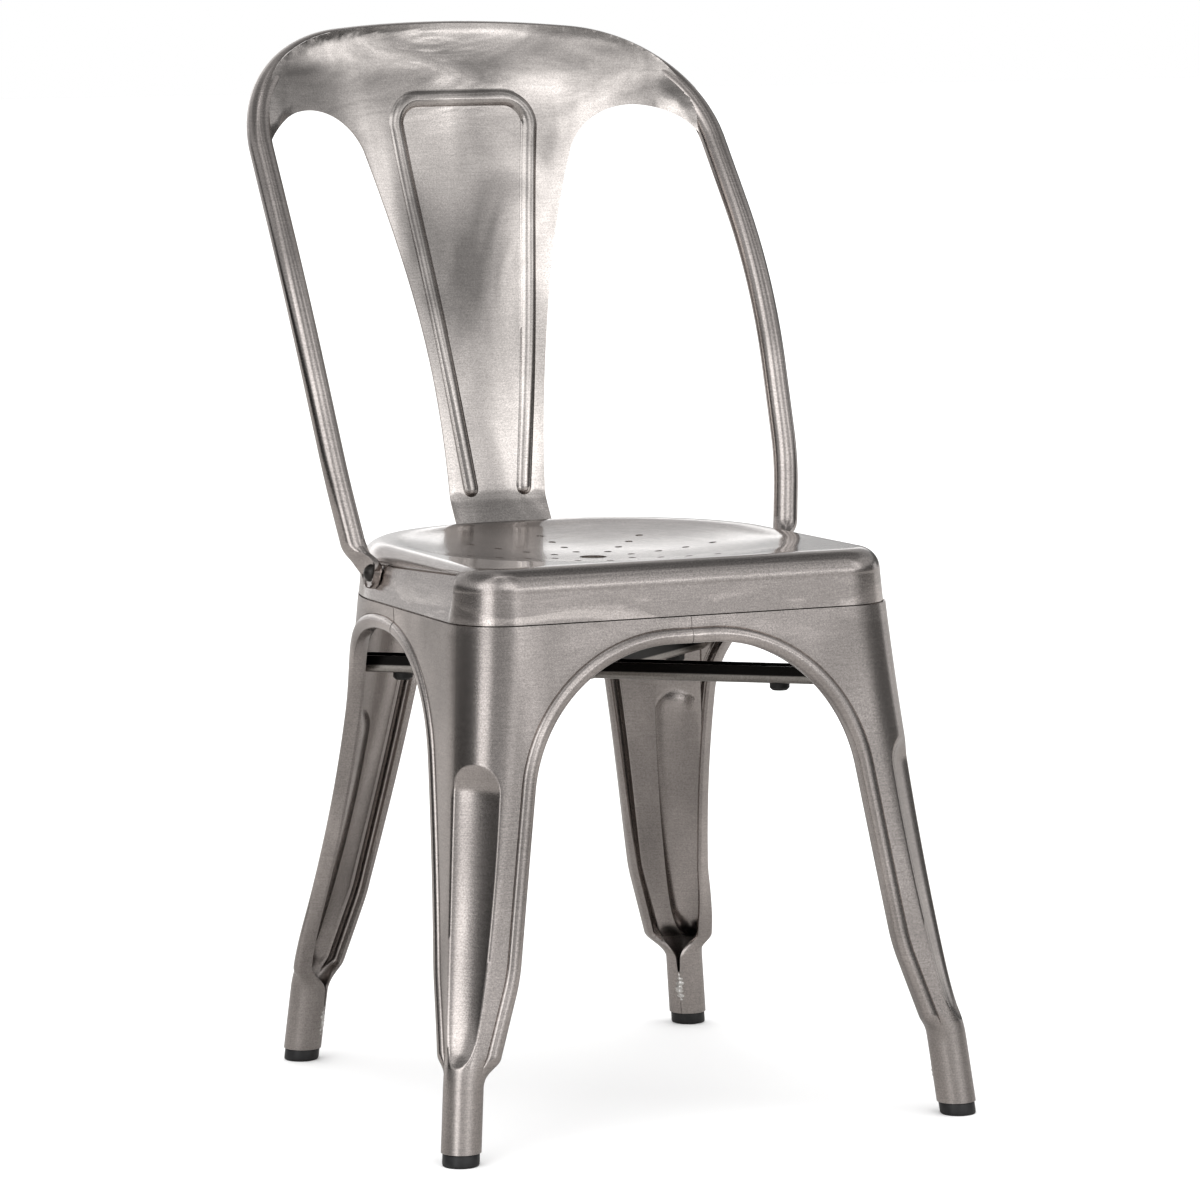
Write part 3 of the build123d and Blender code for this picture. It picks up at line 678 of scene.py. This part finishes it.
def arch_edge(front, face):
    """The arch's edge at each row of the leg's mesh, and the direction from it into the sheet."""
    line = arch_line(front, face)
    run = lengths_along(line)
    shoulder = arch_shoulders[face]
    rising = line[:, 1] < shoulder
    heights = neck_height + leg_share(leg_levels) * (shoulder - neck_height)
    at = np.interp(heights, line[rising][:, 1], run[rising])
    at = np.concatenate([at, np.linspace(at[-1], run[-1], crown_rows + 1)[1:]])
    edge = np.stack([np.interp(at, run, line[:, k]) for k in (0, 1)], -1)
    tangent = np.gradient(edge, axis=0)
    first_free = np.searchsorted(leg_levels, neck_height) + 1
    tangent[:first_free + 1] = tangent[first_free + 1]
    inward = right_of(tangent)
    return edge, inward * np.where(inward[:, :1] + inward[:, 1:] > 0, 1, -1)


def bead_lift(distance):
    """Height of the rounded bead, and of the groove beside it, at a distance from the arch's edge."""
    half = bead_width / 2
    bead = bead_height * np.sqrt(np.clip(1 - ((distance - half) / half) ** 2, 0, 1))
    half_groove = groove_width / 2
    return bead - groove_depth * np.clip(1 - np.abs(distance - bead_width - half_groove) / half_groove, 0, 1)


def flute_width(height):
    """Half width of the flute, which narrows downwards and ends in a round tip."""
    fall = np.clip((flute_centre_height - height) / (flute_centre_height - flute_tip_height), 0, 1)
    return flute_half * (1 - flute_taper * fall ** flute_taper_power) * (1 - fall ** flute_tip_power) ** 0.5


def corner_width(height):
    return max(flute_width(height), corner_least_width)


def flute_depth(front, around, height):
    """How far the flute is pressed in at one point of the corner."""
    width = np.maximum(flute_width(height), 0.01)
    above = np.maximum(height - flute_centre_height, 0)
    radius = leg_section(front, height)[2]
    bulge = radius * (1 - np.cos(np.minimum(width / radius, pi / 4)))
    deepest = bulge + flute_hollow * width / flute_half
    return deepest * np.clip(1 - (around ** 2 + above ** 2) / width ** 2, 0, 1)


def face_rows(front, face):
    """Rows of one face from the turned lip to the corner strip or the seam."""
    edge, inward = arch_edge(front, face)
    sign = 1 if face else -1
    seam_start = skin_at(front, np.array(sign * flute_half), np.array(seam_height))[0][face]
    lifts = np.concatenate([bead_lift(bead_stations), np.zeros(flank_columns)])
    rows = []
    for i, (spot, into) in enumerate(zip(edge, inward)):
        if i < leg_rows:
            held = max(leg_levels[i], neck_height)
            target, _ = skin_at(front, np.array(sign * corner_width(held)), np.array(held))
            finish = np.array([target[face], held])
        else:
            share = (i - leg_rows + 1) / crown_rows
            finish = np.array([seam_start + (edge[-1][0] - seam_start) * share, seam_height])
        spots = [spot + into * station for station in bead_stations]
        start = spots[-1]
        spots += [start + (finish - start) * k / flank_columns for k in range(1, flank_columns + 1)]
        reach, height = np.array(spots).T
        skin, normal = skin_at(front, around_at(front, face, reach, height), height)
        skin = skin + normal * lifts[:, None]
        in_plane = np.array([0.0, 0.0, into[1]])
        in_plane[face] = into[0]
        lip = [skin[0] - normal[0] * depth + in_plane * aside for depth, aside in lip_stations]
        rows.append(np.concatenate([lip, skin]))
    return np.array(rows)


def corner_rows(front):
    """Rows of the corner strip, with the flute pressed into it."""
    diagonal = np.array([1, 1, 0]) / 2 ** 0.5
    below, above = flute_rise_span
    span = [flute_centre_height - below, flute_centre_height, flute_centre_height + above]
    rows = []
    for held in np.maximum(leg_levels, neck_height):
        around = corner_width(held) * np.sin(corner_angles)
        height = held + flute_half * np.interp(held, span, [0, 1, 0]) * np.cos(corner_angles)
        skin, _ = skin_at(front, around, np.minimum(height, seam_height))
        rows.append(skin - diagonal * flute_depth(front, around, height)[:, None])
    return np.array(rows)


def roll_foot(front, lower):
    """Roll the lowest rows of a leg into its foot tube, with a slit on the inner side."""
    run = lengths_along(lower[np.searchsorted(leg_levels, neck_height)])
    for row, level in zip(lower, leg_levels):
        slit = slit_closed + slit_opens * smooth(level, *slit_span)
        angle = pi / 4 - (pi - slit) * (2 * run / run[-1] - 1)
        ring = tube_ring(front, level, tube_radius, angle)
        if level < neck_height:
            row[:, :2] += tube_axis(front, level) - tube_axis(front, neck_height)
            row[:, 2] = level
        blend = 1 - smooth(level, *roll_span)
        row[:] = row * (1 - blend) + ring * blend


def add_trough(points, faces, rim):
    """Dark trough behind the seam: strips that step back from the leg's top edge and rise behind the skirt."""
    outward = unit(vertex_normals(points, faces)[rim] * np.array([1, 1, 0]))
    if (outward @ np.array([1, 1, 0])).mean() < 0:
        outward = -outward
    strips = [points[rim] - outward * inset + np.array([0, 0, rise]) for inset, rise in trough_stations]
    faces = faces + grid_faces(len(strips), len(rim), len(points))
    return np.concatenate([points, *strips]), faces


def leg_skin(front):
    """Outer skin of a right-hand leg: points and faces."""
    halves = face_rows(front, 0), face_rows(front, 1)
    lower = np.concatenate([halves[0][:leg_rows], corner_rows(front)[:, 1:-1], halves[1][:leg_rows, ::-1]], axis=1)
    roll_foot(front, lower)
    columns, half_columns = lower.shape[1], halves[0].shape[1]
    points = np.concatenate([lower.reshape(-1, 3), *(half[leg_rows:].reshape(-1, 3) for half in halves)])
    faces = grid_faces(leg_rows, columns)
    top = (leg_rows - 1) * columns
    first = leg_rows * columns
    seams = []
    for face in (0, 1):
        base = [top + (columns - 1 - j if face else j) for j in range(half_columns)]
        chain = [base]
        for _ in range(crown_rows):
            chain.append(list(range(first, first + half_columns)))
            first += half_columns
        for low, high in zip(chain, chain[1:]):
            for j in range(half_columns - 1):
                quad = (low[j], low[j + 1], high[j + 1], high[j])
                faces.append(quad[::-1] if face else quad)
        seams.append([row[-1] for row in chain[1:]])
    middle = list(range(top + half_columns - 1, top + columns - half_columns + 1))
    return add_trough(points, faces, seams[0][::-1] + middle + seams[1])


def make_legs():
    skins = {front: leg_skin(front) for front in ends}
    for front, side, along, name in chair_corners():
        skin, faces = skins[front]
        make_sheet(f"leg_{name}", skin * np.array([side, along, 1]), flipped(faces, side * along < 0), sheet_steel)


def make_welds():
    """Lumpy weld beads that close each rolled foot's seam, on the side towards the chair's middle."""
    heights = np.linspace(*weld_span, 30)
    turns = full_turn(14)
    for front, side, along, name in chair_corners():
        rings = []
        for k, height in enumerate(heights):
            swell = np.sqrt(max(1 - ((height - weld_middle) / weld_half) ** 2, 0.01))
            wide = swell * (4.2 + 0.8 * sin(k * 1.1) + 0.5 * sin(k * 2.3))
            thick = swell * (2.6 + 0.5 * sin(k * 1.7 + 1))
            angle = pi * 1.25 + (wide * np.cos(turns) + 0.8 * sin(k * 0.37)) / tube_radius
            reach = tube_radius - weld_sunk + thick * np.sin(turns)
            rings.append(tube_ring(front, height, reach, angle, side, along))
        placed = flipped(tube_faces(len(heights), len(turns)), side * along > 0)
        make_piece(f"leg_{name}_weld", np.concatenate(rings), placed, weld_steel, None, "sheet_steel", 60)


# Seat pan

def seat_outline(step):
    """Seat plan as points and outward normals, anticlockwise from above."""
    corners = [(0, -seat_front), (seat_front_half, -seat_front), (seat_rear_half, seat_rear),
               (-seat_rear_half, seat_rear), (-seat_front_half, -seat_front), (0, -seat_front)]
    path = rounded(corners, [seat_front_radius, seat_rear_radius, seat_rear_radius, seat_front_radius], 0.5)
    path = spaced(path, int(lengths_along(path)[-1] / step) + 1)[:-1]
    return path, right_of(np.roll(path, -1, 0) - np.roll(path, 1, 0))


def dish_drop(x, y):
    """Depth of the seat's spherical dish, which rolls softly into the flat rim."""
    ball = ball_radius(dish_radius, dish_depth)
    drop = (dish_radius ** 2 - x ** 2 - (y - dish_middle_y) ** 2) / (2 * ball)
    eased = 0.5 * (drop + np.sqrt(drop ** 2 + dish_softness ** 2)) - 0.5 * dish_softness * np.exp(-np.abs(drop))
    return np.maximum(eased, 0)


def pocket_share(y):
    return np.clip((y - pocket_front_y) / (pocket_rear_y - pocket_front_y), 0, 1)


def pocket_ceiling(y):
    """Height at which a side pocket's wall ends in a small ledge."""
    return pocket_ceiling_front - pocket_ceiling_fall * pocket_share(y)


def pocket_inset_at(outline):
    """How far the flat side pockets are pressed in at each point of the seat's plan."""
    x, y = np.abs(outline[:, 0]), outline[:, 1]
    share = pocket_share(y)
    wall = seat_front_half - pocket_inset - pocket_taper * share - pocket_front_press * (1 - share)
    fade = smooth(y, pocket_front_y - 3, pocket_front_y + 3) * (1 - smooth(y, pocket_fade_y, pocket_rear_y))
    ledge = np.clip((pocket_ceiling(y) - seat_height + rim_radius) / rim_radius, 0, 1)
    deep = pocket_ledge_press + rim_radius * (1 - np.sqrt(1 - ledge ** 2))
    return np.maximum(x - wall, deep * (x > wall - 4)) * fade


def skirt_rings(outline, normals):
    """Skirt and rounded rim, ring by ring, with the side pockets' walls and small ledges."""
    tall = seat_height - rim_radius
    angles = np.linspace(0, pi / 2, 200)
    inset = skirt_slope * (tall - skirt_bottom) + rim_radius * (1 - np.cos(angles))
    height = tall + rim_radius * np.sin(angles)
    columns = []
    for spot, normal, inward, top in zip(outline, normals, pocket_inset_at(outline), pocket_ceiling(outline[:, 1])):
        hit = np.interp(inward, inset - inset[0], angles)
        wall_top = min(tall + rim_radius * sin(hit), top)
        ledge = np.interp(wall_top + ledge_rise, height, angles)
        if wall_top + ledge_rise > tall + rim_radius * sin(hit):
            ledge = min(hit + 0.03, pi / 2)
        slope = inward / (wall_top - skirt_bottom) + skirt_slope
        groove = ledge_groove * min(inward, 1.0)
        profile = [(slope * (z - skirt_bottom), z) for z in np.linspace(skirt_bottom, wall_top - 2.2, 10)]
        profile += [(slope * (z - skirt_bottom) + groove, z) for z in (wall_top - 1.0, wall_top - 0.1)]
        rim_angles = np.linspace(ledge, pi / 2, 15)
        profile += zip(np.interp(rim_angles, angles, inset), np.interp(rim_angles, angles, height))
        columns.append([(*(spot - normal * reach), z) for reach, z in profile])
    return np.array(columns).transpose(1, 0, 2)


def seat_holes():
    """Drain hole and star of small holes: X, Y, radius and number of sides."""
    holes = [(0.0, 0.0, drain_radius, 40)]
    for reach in star_first_radius + star_pitch * np.arange(star_holes_per_ray):
        for turn in full_turn(star_rays):
            holes.append((reach * cos(turn), reach * sin(turn), star_hole_radius, 16))
    return holes


def seat_top(boundary, outline, normals):
    """The seat's top inside a closed boundary, with its holes: points in plan and triangles."""
    holes = seat_holes()
    middles, radii = np.array([h[:2] for h in holes]), np.array([h[2] for h in holes])
    spots = [tuple(spot) for spot in boundary]
    for x, y, radius, sides in holes:
        spots += [(x + radius * cos(turn), y + radius * sin(turn)) for turn in full_turn(sides)]
    rim_inset = skirt_draft * (seat_height - rim_radius - seam_height) / (seat_height - seam_height) + rim_radius
    places = np.arange(-seat_grid_reach, seat_grid_reach, seat_grid)
    grid = np.array([(x + (seat_grid / 2 if j % 2 else 0), y) for x in places for j, y in enumerate(places)])
    rim = nearest(grid, boundary)
    margin = ((outline[rim] - normals[rim] * rim_inset - grid) * normals[rim]).sum(1)
    hole_gap = (np.linalg.norm(grid[:, None] - middles, axis=2) - radii).min(1)
    spots += grid[(margin > rim_margin) & (hole_gap > hole_margin)].tolist()
    flat, triangles = triangulate(spots, [len(boundary)] + [h[3] for h in holes], 1e-5)
    corners = flat[np.array(triangles)]
    centre = corners.sum(1) / 3
    rim = nearest(centre, boundary)
    kept = ((boundary[rim] - centre) * normals[rim]).sum(1) > -0.01
    kept &= (np.linalg.norm(centre[:, None] - middles, axis=2) > radii * 0.98).all(1)
    kept &= np.array([geometry.area_tri(*corner) for corner in corners.tolist()]) > least_area
    return flat, [face for face, keep in zip(triangles, kept) if keep]


def make_seat():
    outline, normals = seat_outline(2.0)
    rings = skirt_rings(outline, normals)
    boundary = rings[-1][:, :2]
    flat, triangles = seat_top(boundary, outline, normals)
    gap = distance_to(flat, boundary)
    top = np.column_stack([flat, seat_height - dish_drop(flat[:, 0], flat[:, 1]) * smooth(gap, 0, dish_roll)])
    points = rings.reshape(-1, 3)
    inner = gap > 1e-4
    last_ring = len(points) - len(outline)
    index = np.where(inner, len(points) + np.cumsum(inner) - 1, last_ring + nearest(flat, boundary))
    points = np.concatenate([points, top[inner]])
    faces = grid_faces(len(rings), len(outline), closed=True)
    faces += [turned_to(points, [index[i] for i in face], (0, 0, 1)) for face in triangles]
    make_sheet("seat_pan", points, faces, seat_steel, 32)


# Back hoop

def hoop_path():
    """Centre line of the hoop's tube, from the right end over the top to the left end."""
    corners = hoop_right + [hoop_top] + [(-x, y, z) for x, y, z in hoop_right[::-1]]
    legs = np.diff(np.array(corners), axis=0)
    radii = []
    for a, b in zip(legs, legs[1:]):
        long_a, long_b = np.linalg.norm(a), np.linalg.norm(b)
        radii.append(bend_share * min(long_a, long_b) / tan(np.arccos(a @ b / long_a / long_b) / 2))
    return rounded(corners, radii, 2.0)


def bolt_place(side):
    """Point on the pocket wall at the bolt, and the wall's outward direction."""
    turn = atan2(pocket_taper, pocket_rear_y - pocket_front_y)
    wall = seat_front_half - pocket_inset / cos(turn) - (bolt_y - pocket_front_y) * tan(turn)
    outer = np.interp(bolt_y, [-seat_front, seat_rear], [seat_front_half, seat_rear_half])
    slope = (outer - wall) / (pocket_ceiling(bolt_y) - skirt_bottom) + skirt_slope
    lean = atan2(slope, 1)
    place = np.array([side * (outer - slope * (bolt_z - skirt_bottom)), bolt_y, bolt_z])
    return place, np.array([side * cos(turn) * cos(lean), sin(turn) * cos(lean), sin(lean)])


def tube_section(width, height, flat, opened):
    """Closed section as sideways and outward distances: a circle that flattens into an open channel."""
    body = np.linspace(mouth_half, 2 * pi - mouth_half, 34)
    mouth = np.linspace(-mouth_half, mouth_half, 15)[1:-1]
    walls = [(width, height), (width, -height), (-width, -height), (-width, height)]
    channel = rounded(walls, [channel_bend] * 2, 1.0)
    floor = height - channel_depth
    inner = width - sheet
    trough = rounded([(-width, height), (-inner, height), (-inner, floor), (inner, floor), (inner, height),
                      (width, height)], [0.2, 0.6, 0.6, 0.2], 0.6)
    parts = []
    for angles, line, share in ((body, spaced(channel, len(body)), flat),
                                (mouth, spaced(trough, len(mouth) + 2)[1:-1], opened)):
        circle = hoop_radius * np.stack([np.sin(angles), np.cos(angles)], -1)
        parts.append(circle * (1 - share) + line * share)
    return np.concatenate(parts)


def hoop_end_rings(side):
    """Rings of one flattened hoop end, from the tube down to the tip below the bolt."""
    start, bend = np.array(hoop_right[:2]) * np.array([side, 1, 1])
    place, out = bolt_place(side)
    centre = place + out * (clearance + eye_thickness / 2)
    level = start - place
    along = unit(level - out * (level @ out))
    incoming = unit(start - bend)
    reach = np.linalg.norm(start - centre)
    rings = []
    for t in np.concatenate([np.linspace(0, 0.72, 16), np.linspace(0.74, 1.0, 14)]):
        way = t * (reach + eye_radius - 1.0)
        past = max(way - reach, 0)
        if way < reach:
            u = way / reach
            leave, arrive = u ** 3 - 2 * u ** 2 + u, u ** 3 - u ** 2
            ease = 3 * u ** 2 - 2 * u ** 3
            spot = (1 - ease) * start + leave * incoming * reach + ease * centre - arrive * along * reach * 0.6
        else:
            spot = centre - along * past
        flat = float(smooth(way, 2.0, reach * 0.75))
        opened = float(smooth(way, reach * 0.42, reach * 0.62))
        width = max(np.sqrt(max(eye_radius ** 2 - past ** 2, 0)) - 0.2, 3.0)
        ahead = unit(incoming * (1 - flat) - along * flat)
        facing = unit(out - ahead * (out @ ahead))
        section = tube_section(width, eye_thickness / 2 - 0.1, flat, opened)
        rings.append(spot + section[:, :1] * np.cross(facing, ahead) + section[:, 1:] * facing)
    return np.array(rings)


def make_hoop():
    path = spaced(hoop_path(), 420)
    slit_angles = [-hoop_slit, -hoop_slit * 0.8, hoop_slit * 0.8]
    angles = np.concatenate([slit_angles, np.linspace(hoop_slit, 2 * pi - hoop_slit, 46)[:-1]])
    reach = np.full((len(angles), 1), hoop_radius)
    reach[1:3] -= hoop_slit_depth
    rings = []
    for spot, ahead in zip(path, unit(np.gradient(path, axis=0))):
        x = np.clip(spot[0], -hoop_seam_turn, hoop_seam_turn)
        inner = np.array([-x, 0, -max(0, spot[2] - hoop_seam_rise)])
        inner = unit(inner - ahead * (inner @ ahead))
        aside = np.cross(ahead, inner)
        rings.append(spot + reach * (np.cos(angles)[:, None] * inner + np.sin(angles)[:, None] * aside))
    points = np.concatenate(rings)
    faces = tube_faces(len(path), len(angles))
    for side in (1, -1):
        rings = hoop_end_rings(side)
        faces += flipped(tube_faces(*rings.shape[:2], len(points)), side < 0)
        points = np.concatenate([points, rings.reshape(-1, 3)])
    make_piece("back_hoop_tube", points, faces, tube_steel, "back_hoop", "tube_steel", 40)


def lathe(profile, origin, axis, count):
    """Rings of a turned shape, from a profile of radius and distance along the axis."""
    across = unit(np.cross(axis, [0, 0, 1.0]))
    other = np.cross(axis, across)
    turn = full_turn(count)
    ring = np.cos(turn)[:, None] * across + np.sin(turn)[:, None] * other
    return np.concatenate([origin + ring * r + axis * h for r, h in profile])


def make_bolts():
    seat = clearance + eye_thickness - channel_depth - 0.2
    crown = seat + bolt_head_edge
    profile = [(bolt_radius, -12.0), (bolt_radius, seat), (bolt_head_radius, seat), (bolt_head_radius, crown)]
    ball = ball_radius(bolt_head_radius, bolt_head_height)
    for angle in np.linspace(np.arcsin(bolt_head_radius / ball), 0.05, 12):
        profile.append((ball * sin(angle), crown + bolt_head_height - ball + ball * cos(angle)))
    sides = 40
    points = np.concatenate([lathe(profile, *bolt_place(side), sides) for side in (1, -1)])
    faces = tube_faces(len(profile), sides) + tube_faces(len(profile), sides, len(profile) * sides)
    make_piece("hoop_dome_bolts", points, faces, bolt_black, "hoop_bolts", "dark_bolts", 40)


def make_caps():
    turn = full_turn(48)
    for front, side, along, name in chair_corners():
        rings = [tube_ring(front, height, radius, turn, side, along) for radius, height in cap_profile]
        faces = flipped(tube_faces(len(cap_profile), len(turn)), side * along < 0)
        make_piece(f"foot_cap_{name}_moulding", np.concatenate(rings), faces, cap_black, f"foot_cap_{name}",
                   "black_caps", 35)


# Back splat

def spline_at(knots, values, at):
    """Natural cubic spline along each row of values, at one place per row."""
    gaps = np.diff(knots)
    inner = np.arange(1, len(knots) - 1)
    left = np.eye(len(knots))
    left[inner, inner - 1], left[inner, inner + 1] = gaps[:-1], gaps[1:]
    left[inner, inner] = 2 * (gaps[:-1] + gaps[1:])
    right = np.zeros_like(values)
    right[:, 1:-1] = 6 * np.diff(np.diff(values, axis=1) / gaps, axis=1)
    bend = np.linalg.solve(left, right.T).T
    at = np.clip(at, knots[0], knots[-1])
    k = np.clip(np.searchsorted(knots, at) - 1, 0, len(knots) - 2)
    row = np.arange(len(at))
    u = (knots[k + 1] - at) / gaps[k]
    v = 1 - u
    bent = ((u ** 3 - u) * bend[row, k] + (v ** 3 - v) * bend[row, k + 1]) * gaps[k] ** 2 / 6
    return u * values[row, k] + v * values[row, k + 1] + bent


def splat_surface(x, z):
    """Y of the splat's front face without its rib."""
    kink_y = seat_rear + splat_kink_setback
    values = []
    for level, step, bow in splat_stations:
        rise = level - splat_kink_height
        share = min(rise / (splat_bow_height - splat_kink_height), 1)
        sag = share * splat_slab_half ** 2 / (2 * bow)
        drop = 0 * x
        if sag > 0:
            ball = ball_radius(splat_slab_half, sag)
            drop = ball - np.sqrt(ball ** 2 - x ** 2)
        values.append(kink_y + splat_lean * rise + splat_sweep * rise ** 2 - step - drop)
    upper = spline_at(np.array(splat_stations)[:, 0], np.stack(values, -1), z)
    slope = (splat_kink_setback - clearance) / (splat_kink_height - splat_foot_bend)
    straight = kink_y + splat_lean * np.maximum(z - splat_kink_height, 0)
    bends = slope * soft_ramp(z - splat_foot_bend) - (slope - splat_lean) * soft_ramp(z - splat_kink_height)
    return seat_rear + clearance + bends + upper - straight


def splat_outline():
    """Front view of the whole splat, closed, anticlockwise from the foot's lower right corner."""
    hoop = spaced(hoop_path(), 900)
    view = hoop[(hoop[:, 0] > -0.01) & (hoop[:, 2] > hoop_seam_rise)][:, [0, 2]]
    outward = right_of(np.gradient(view, axis=0))
    over = smooth(view[:, 1], *rim_span)
    reach = -arm_setback * (1 - over) + rim_lift * np.maximum(outward[:, 1], 0.35) * over
    rim = view + outward * reach[:, None]
    edge = arc_through((splat_foot_half, splat_kink_height), splat_waist, splat_shoulder, 90)
    top = arc_through(splat_shoulder, opening_top, splat_tip, 60)
    start = np.argmin(np.abs(rim[:, 1] - (splat_tip[1] + 1.5)))
    top = top[top[:, 0] < rim[start, 0] - 0.5]
    foot = np.stack([np.full(16, splat_foot_half), np.linspace(splat_foot_bottom, splat_kink_height, 16)], -1)
    right = np.concatenate([foot[:-1], edge[:-1], top, rim[start:]])
    right[-1, 0] = 0
    return np.concatenate([right, right[::-1][1:] * np.array([-1, 1])])


def rib_line():
    corners = [(-rib_foot[0], rib_foot[1]), (-rib_top[0], rib_top[1]), rib_top, rib_foot]
    return spaced(rounded(corners, [rib_corner_radius] * 2, 1.0), 620)


def splat_spots(loop, line):
    """Spots of the splat's mesh in front view: its outline, rows along the rib, and a grid between them."""
    half = rib_width / 2
    aside = right_of(np.gradient(line, axis=0))
    turns = np.linspace(pi, 2 * pi, 15)[1:-1]
    spots = [loop, line[::2]]
    for reach in rib_stations:
        spots += [(line + aside * half * reach * sign)[::2] for sign in (1, -1)]
    for tip in (line[0], line[-1]):
        spots += [tip + half * reach * np.stack([np.cos(turns), np.sin(turns)], -1) for reach in rib_stations]
    across = np.arange(-splat_grid_half, splat_grid_half + 1, splat_grid)
    up = np.arange(splat_foot_bottom, splat_grid_top, splat_grid)
    grid = np.array([(x + (splat_grid / 2 if j % 2 else 0), z) for j, z in enumerate(up) for x in across])
    grid = grid[inside_outline(grid, loop)]
    grid = grid[distance_to(grid, loop) > outline_margin]
    grid = grid[distance_to(grid, line) > half * rib_stations[-1] + rib_margin]
    return np.concatenate([*spots, grid])


def lap_on_hoop(surface, flat):
    """Bring the sheet forward near the hoop's top, so that it lies on the front of the tube."""
    hoop = spaced(hoop_path(), 900)
    view = hoop[:, [0, 2]]
    ahead = hoop[nearest(flat, view), 1] - hoop_radius - sheet - lap_clearance
    lapped = (1 - smooth(distance_to(flat, view), *lap_reach)) * smooth(flat[:, 1], *lap_span)
    return surface + (np.minimum(surface, ahead) - surface) * lapped


def make_splat():
    outline = splat_outline()
    loop = spaced(np.concatenate([outline, outline[:1]]), 800)[:-1]
    line = rib_line()
    flat, triangles = triangulate(splat_spots(loop, line).tolist(), [len(loop)], 1e-4)
    kept = inside_outline(np.array([flat[list(face)].mean(0) for face in triangles]), loop)
    x, z = flat[:, 0], flat[:, 1]
    lift = rib_height * np.clip(1 - (distance_to(flat, line) / (rib_width / 2)) ** 2, 0, 1) ** 0.9
    points = np.column_stack([x, lap_on_hoop(splat_surface(x, z), flat) - lift, z])
    faces = [turned_to(points, face, (0, -1, 0)) for face, inside in zip(triangles, kept) if inside]
    make_sheet("back_splat", points, faces, splat_steel, 45)


# Studio

def make_camera():
    camera = new_object("camera", bpy.data.cameras.new("camera"))
    place = Vector((-1.7513, -3.948, 0.9088))
    aim = Vector((0.0377, 0.0378, 0.3866))
    roll = radians(-0.413)
    turn = (place - aim).to_track_quat("Z", "Y").to_matrix().to_4x4()
    camera.matrix_world = Matrix.Translation(place) @ turn @ Matrix.Rotation(roll, 4, "Z")
    camera.data.sensor_width = 36.0
    camera.data.lens = 161.4
    bpy.context.scene.camera = camera


def direction_ramp(tree, turn, stops):
    """Grey levels by bearing or height, from a share of a full turn, with the stops given in degrees."""
    return ramp(tree, turn, [((angle + 180) / 360, level) for angle, level in stops], "EASE")


def to_camera(tree, others, camera):
    """One colour for the camera's own rays and another for all others."""
    rays = add_node(tree, "ShaderNodeLightPath", {})
    return mix(tree, rays.outputs["Is Camera Ray"], others, camera)


def make_surroundings():
    """White to the camera; to the metal, softboxes and dark gaps laid out by direction round the chair."""
    world = bpy.data.worlds.new("studio")
    bpy.context.scene.world = world
    world.use_nodes = True
    tree = world.node_tree
    place = add_node(tree, "ShaderNodeTexCoord", {})
    x, y, z = add_node(tree, "ShaderNodeSeparateXYZ", {"Vector": place.outputs["Generated"]}).outputs
    left, ahead = (maths(tree, "MULTIPLY", value, -1.0) for value in (x, y))
    bearing, height = (maths(tree, "ADD", maths(tree, "DIVIDE", angle, 2 * pi), 0.5)
                       for angle in (maths(tree, "ARCTAN2", left, ahead), maths(tree, "ARCSINE", z)))
    band = direction_ramp(tree, bearing, level_stops)
    for stops, climb in ((low_stops, low_climb), (high_stops, high_climb)):
        band = mix(tree, direction_ramp(tree, height, climb), band, direction_ramp(tree, bearing, stops))
    band = multiply(tree, band, direction_ramp(tree, height, above_stops))
    set_inputs(tree, tree.nodes["Background"], {"Color": to_camera(tree, band, (1, 1, 1, 1)), "Strength": 1.0})


def make_studio():
    make_surroundings()
    mesh = bpy.data.meshes.new("floor")
    mesh.from_pydata([(-30, -30, 0), (30, -30, 0), (30, 30, 0), (-30, 30, 0)], [], [(0, 1, 2, 3)])
    floor = new_object("floor", mesh)
    material, tree, shader = new_material("pale_floor")
    tone = to_camera(tree, (0.39, 0.38, 0.37, 1), (0.95, 0.95, 0.95, 1))
    set_inputs(tree, shader, {"Base Color": tone, "Roughness": 1.0, "Specular IOR Level": 0.0})
    floor.data.materials.append(material)
    wash = new_object("floor_wash", bpy.data.lights.new("floor_wash", "SUN"))
    wash.data.energy = 3.2
    wash.data.angle = radians(120)
    wash.visible_glossy = False
    bpy.context.scene.view_settings.view_transform = "Standard"


make_legs()
make_welds()
make_seat()
make_hoop()
make_bolts()
make_caps()
make_splat()
dress = {
    "brace_steel": brace_steel, "dark_bolts": bolt_black, "plated_hardware": plated, "black_caps": cap_black,
    "black_bumpers": bumper_black, "sheet_steel": splat_steel, "tube_steel": tube_steel,
}
slots = {part["node"]: part["material_slot"] for part in frame["record"]["subparts"]}
for node, piece in frame["nodes"].items():
    piece.data.materials.clear()
    piece.data.materials.append(dress[slots[node]])
make_camera()
make_studio()
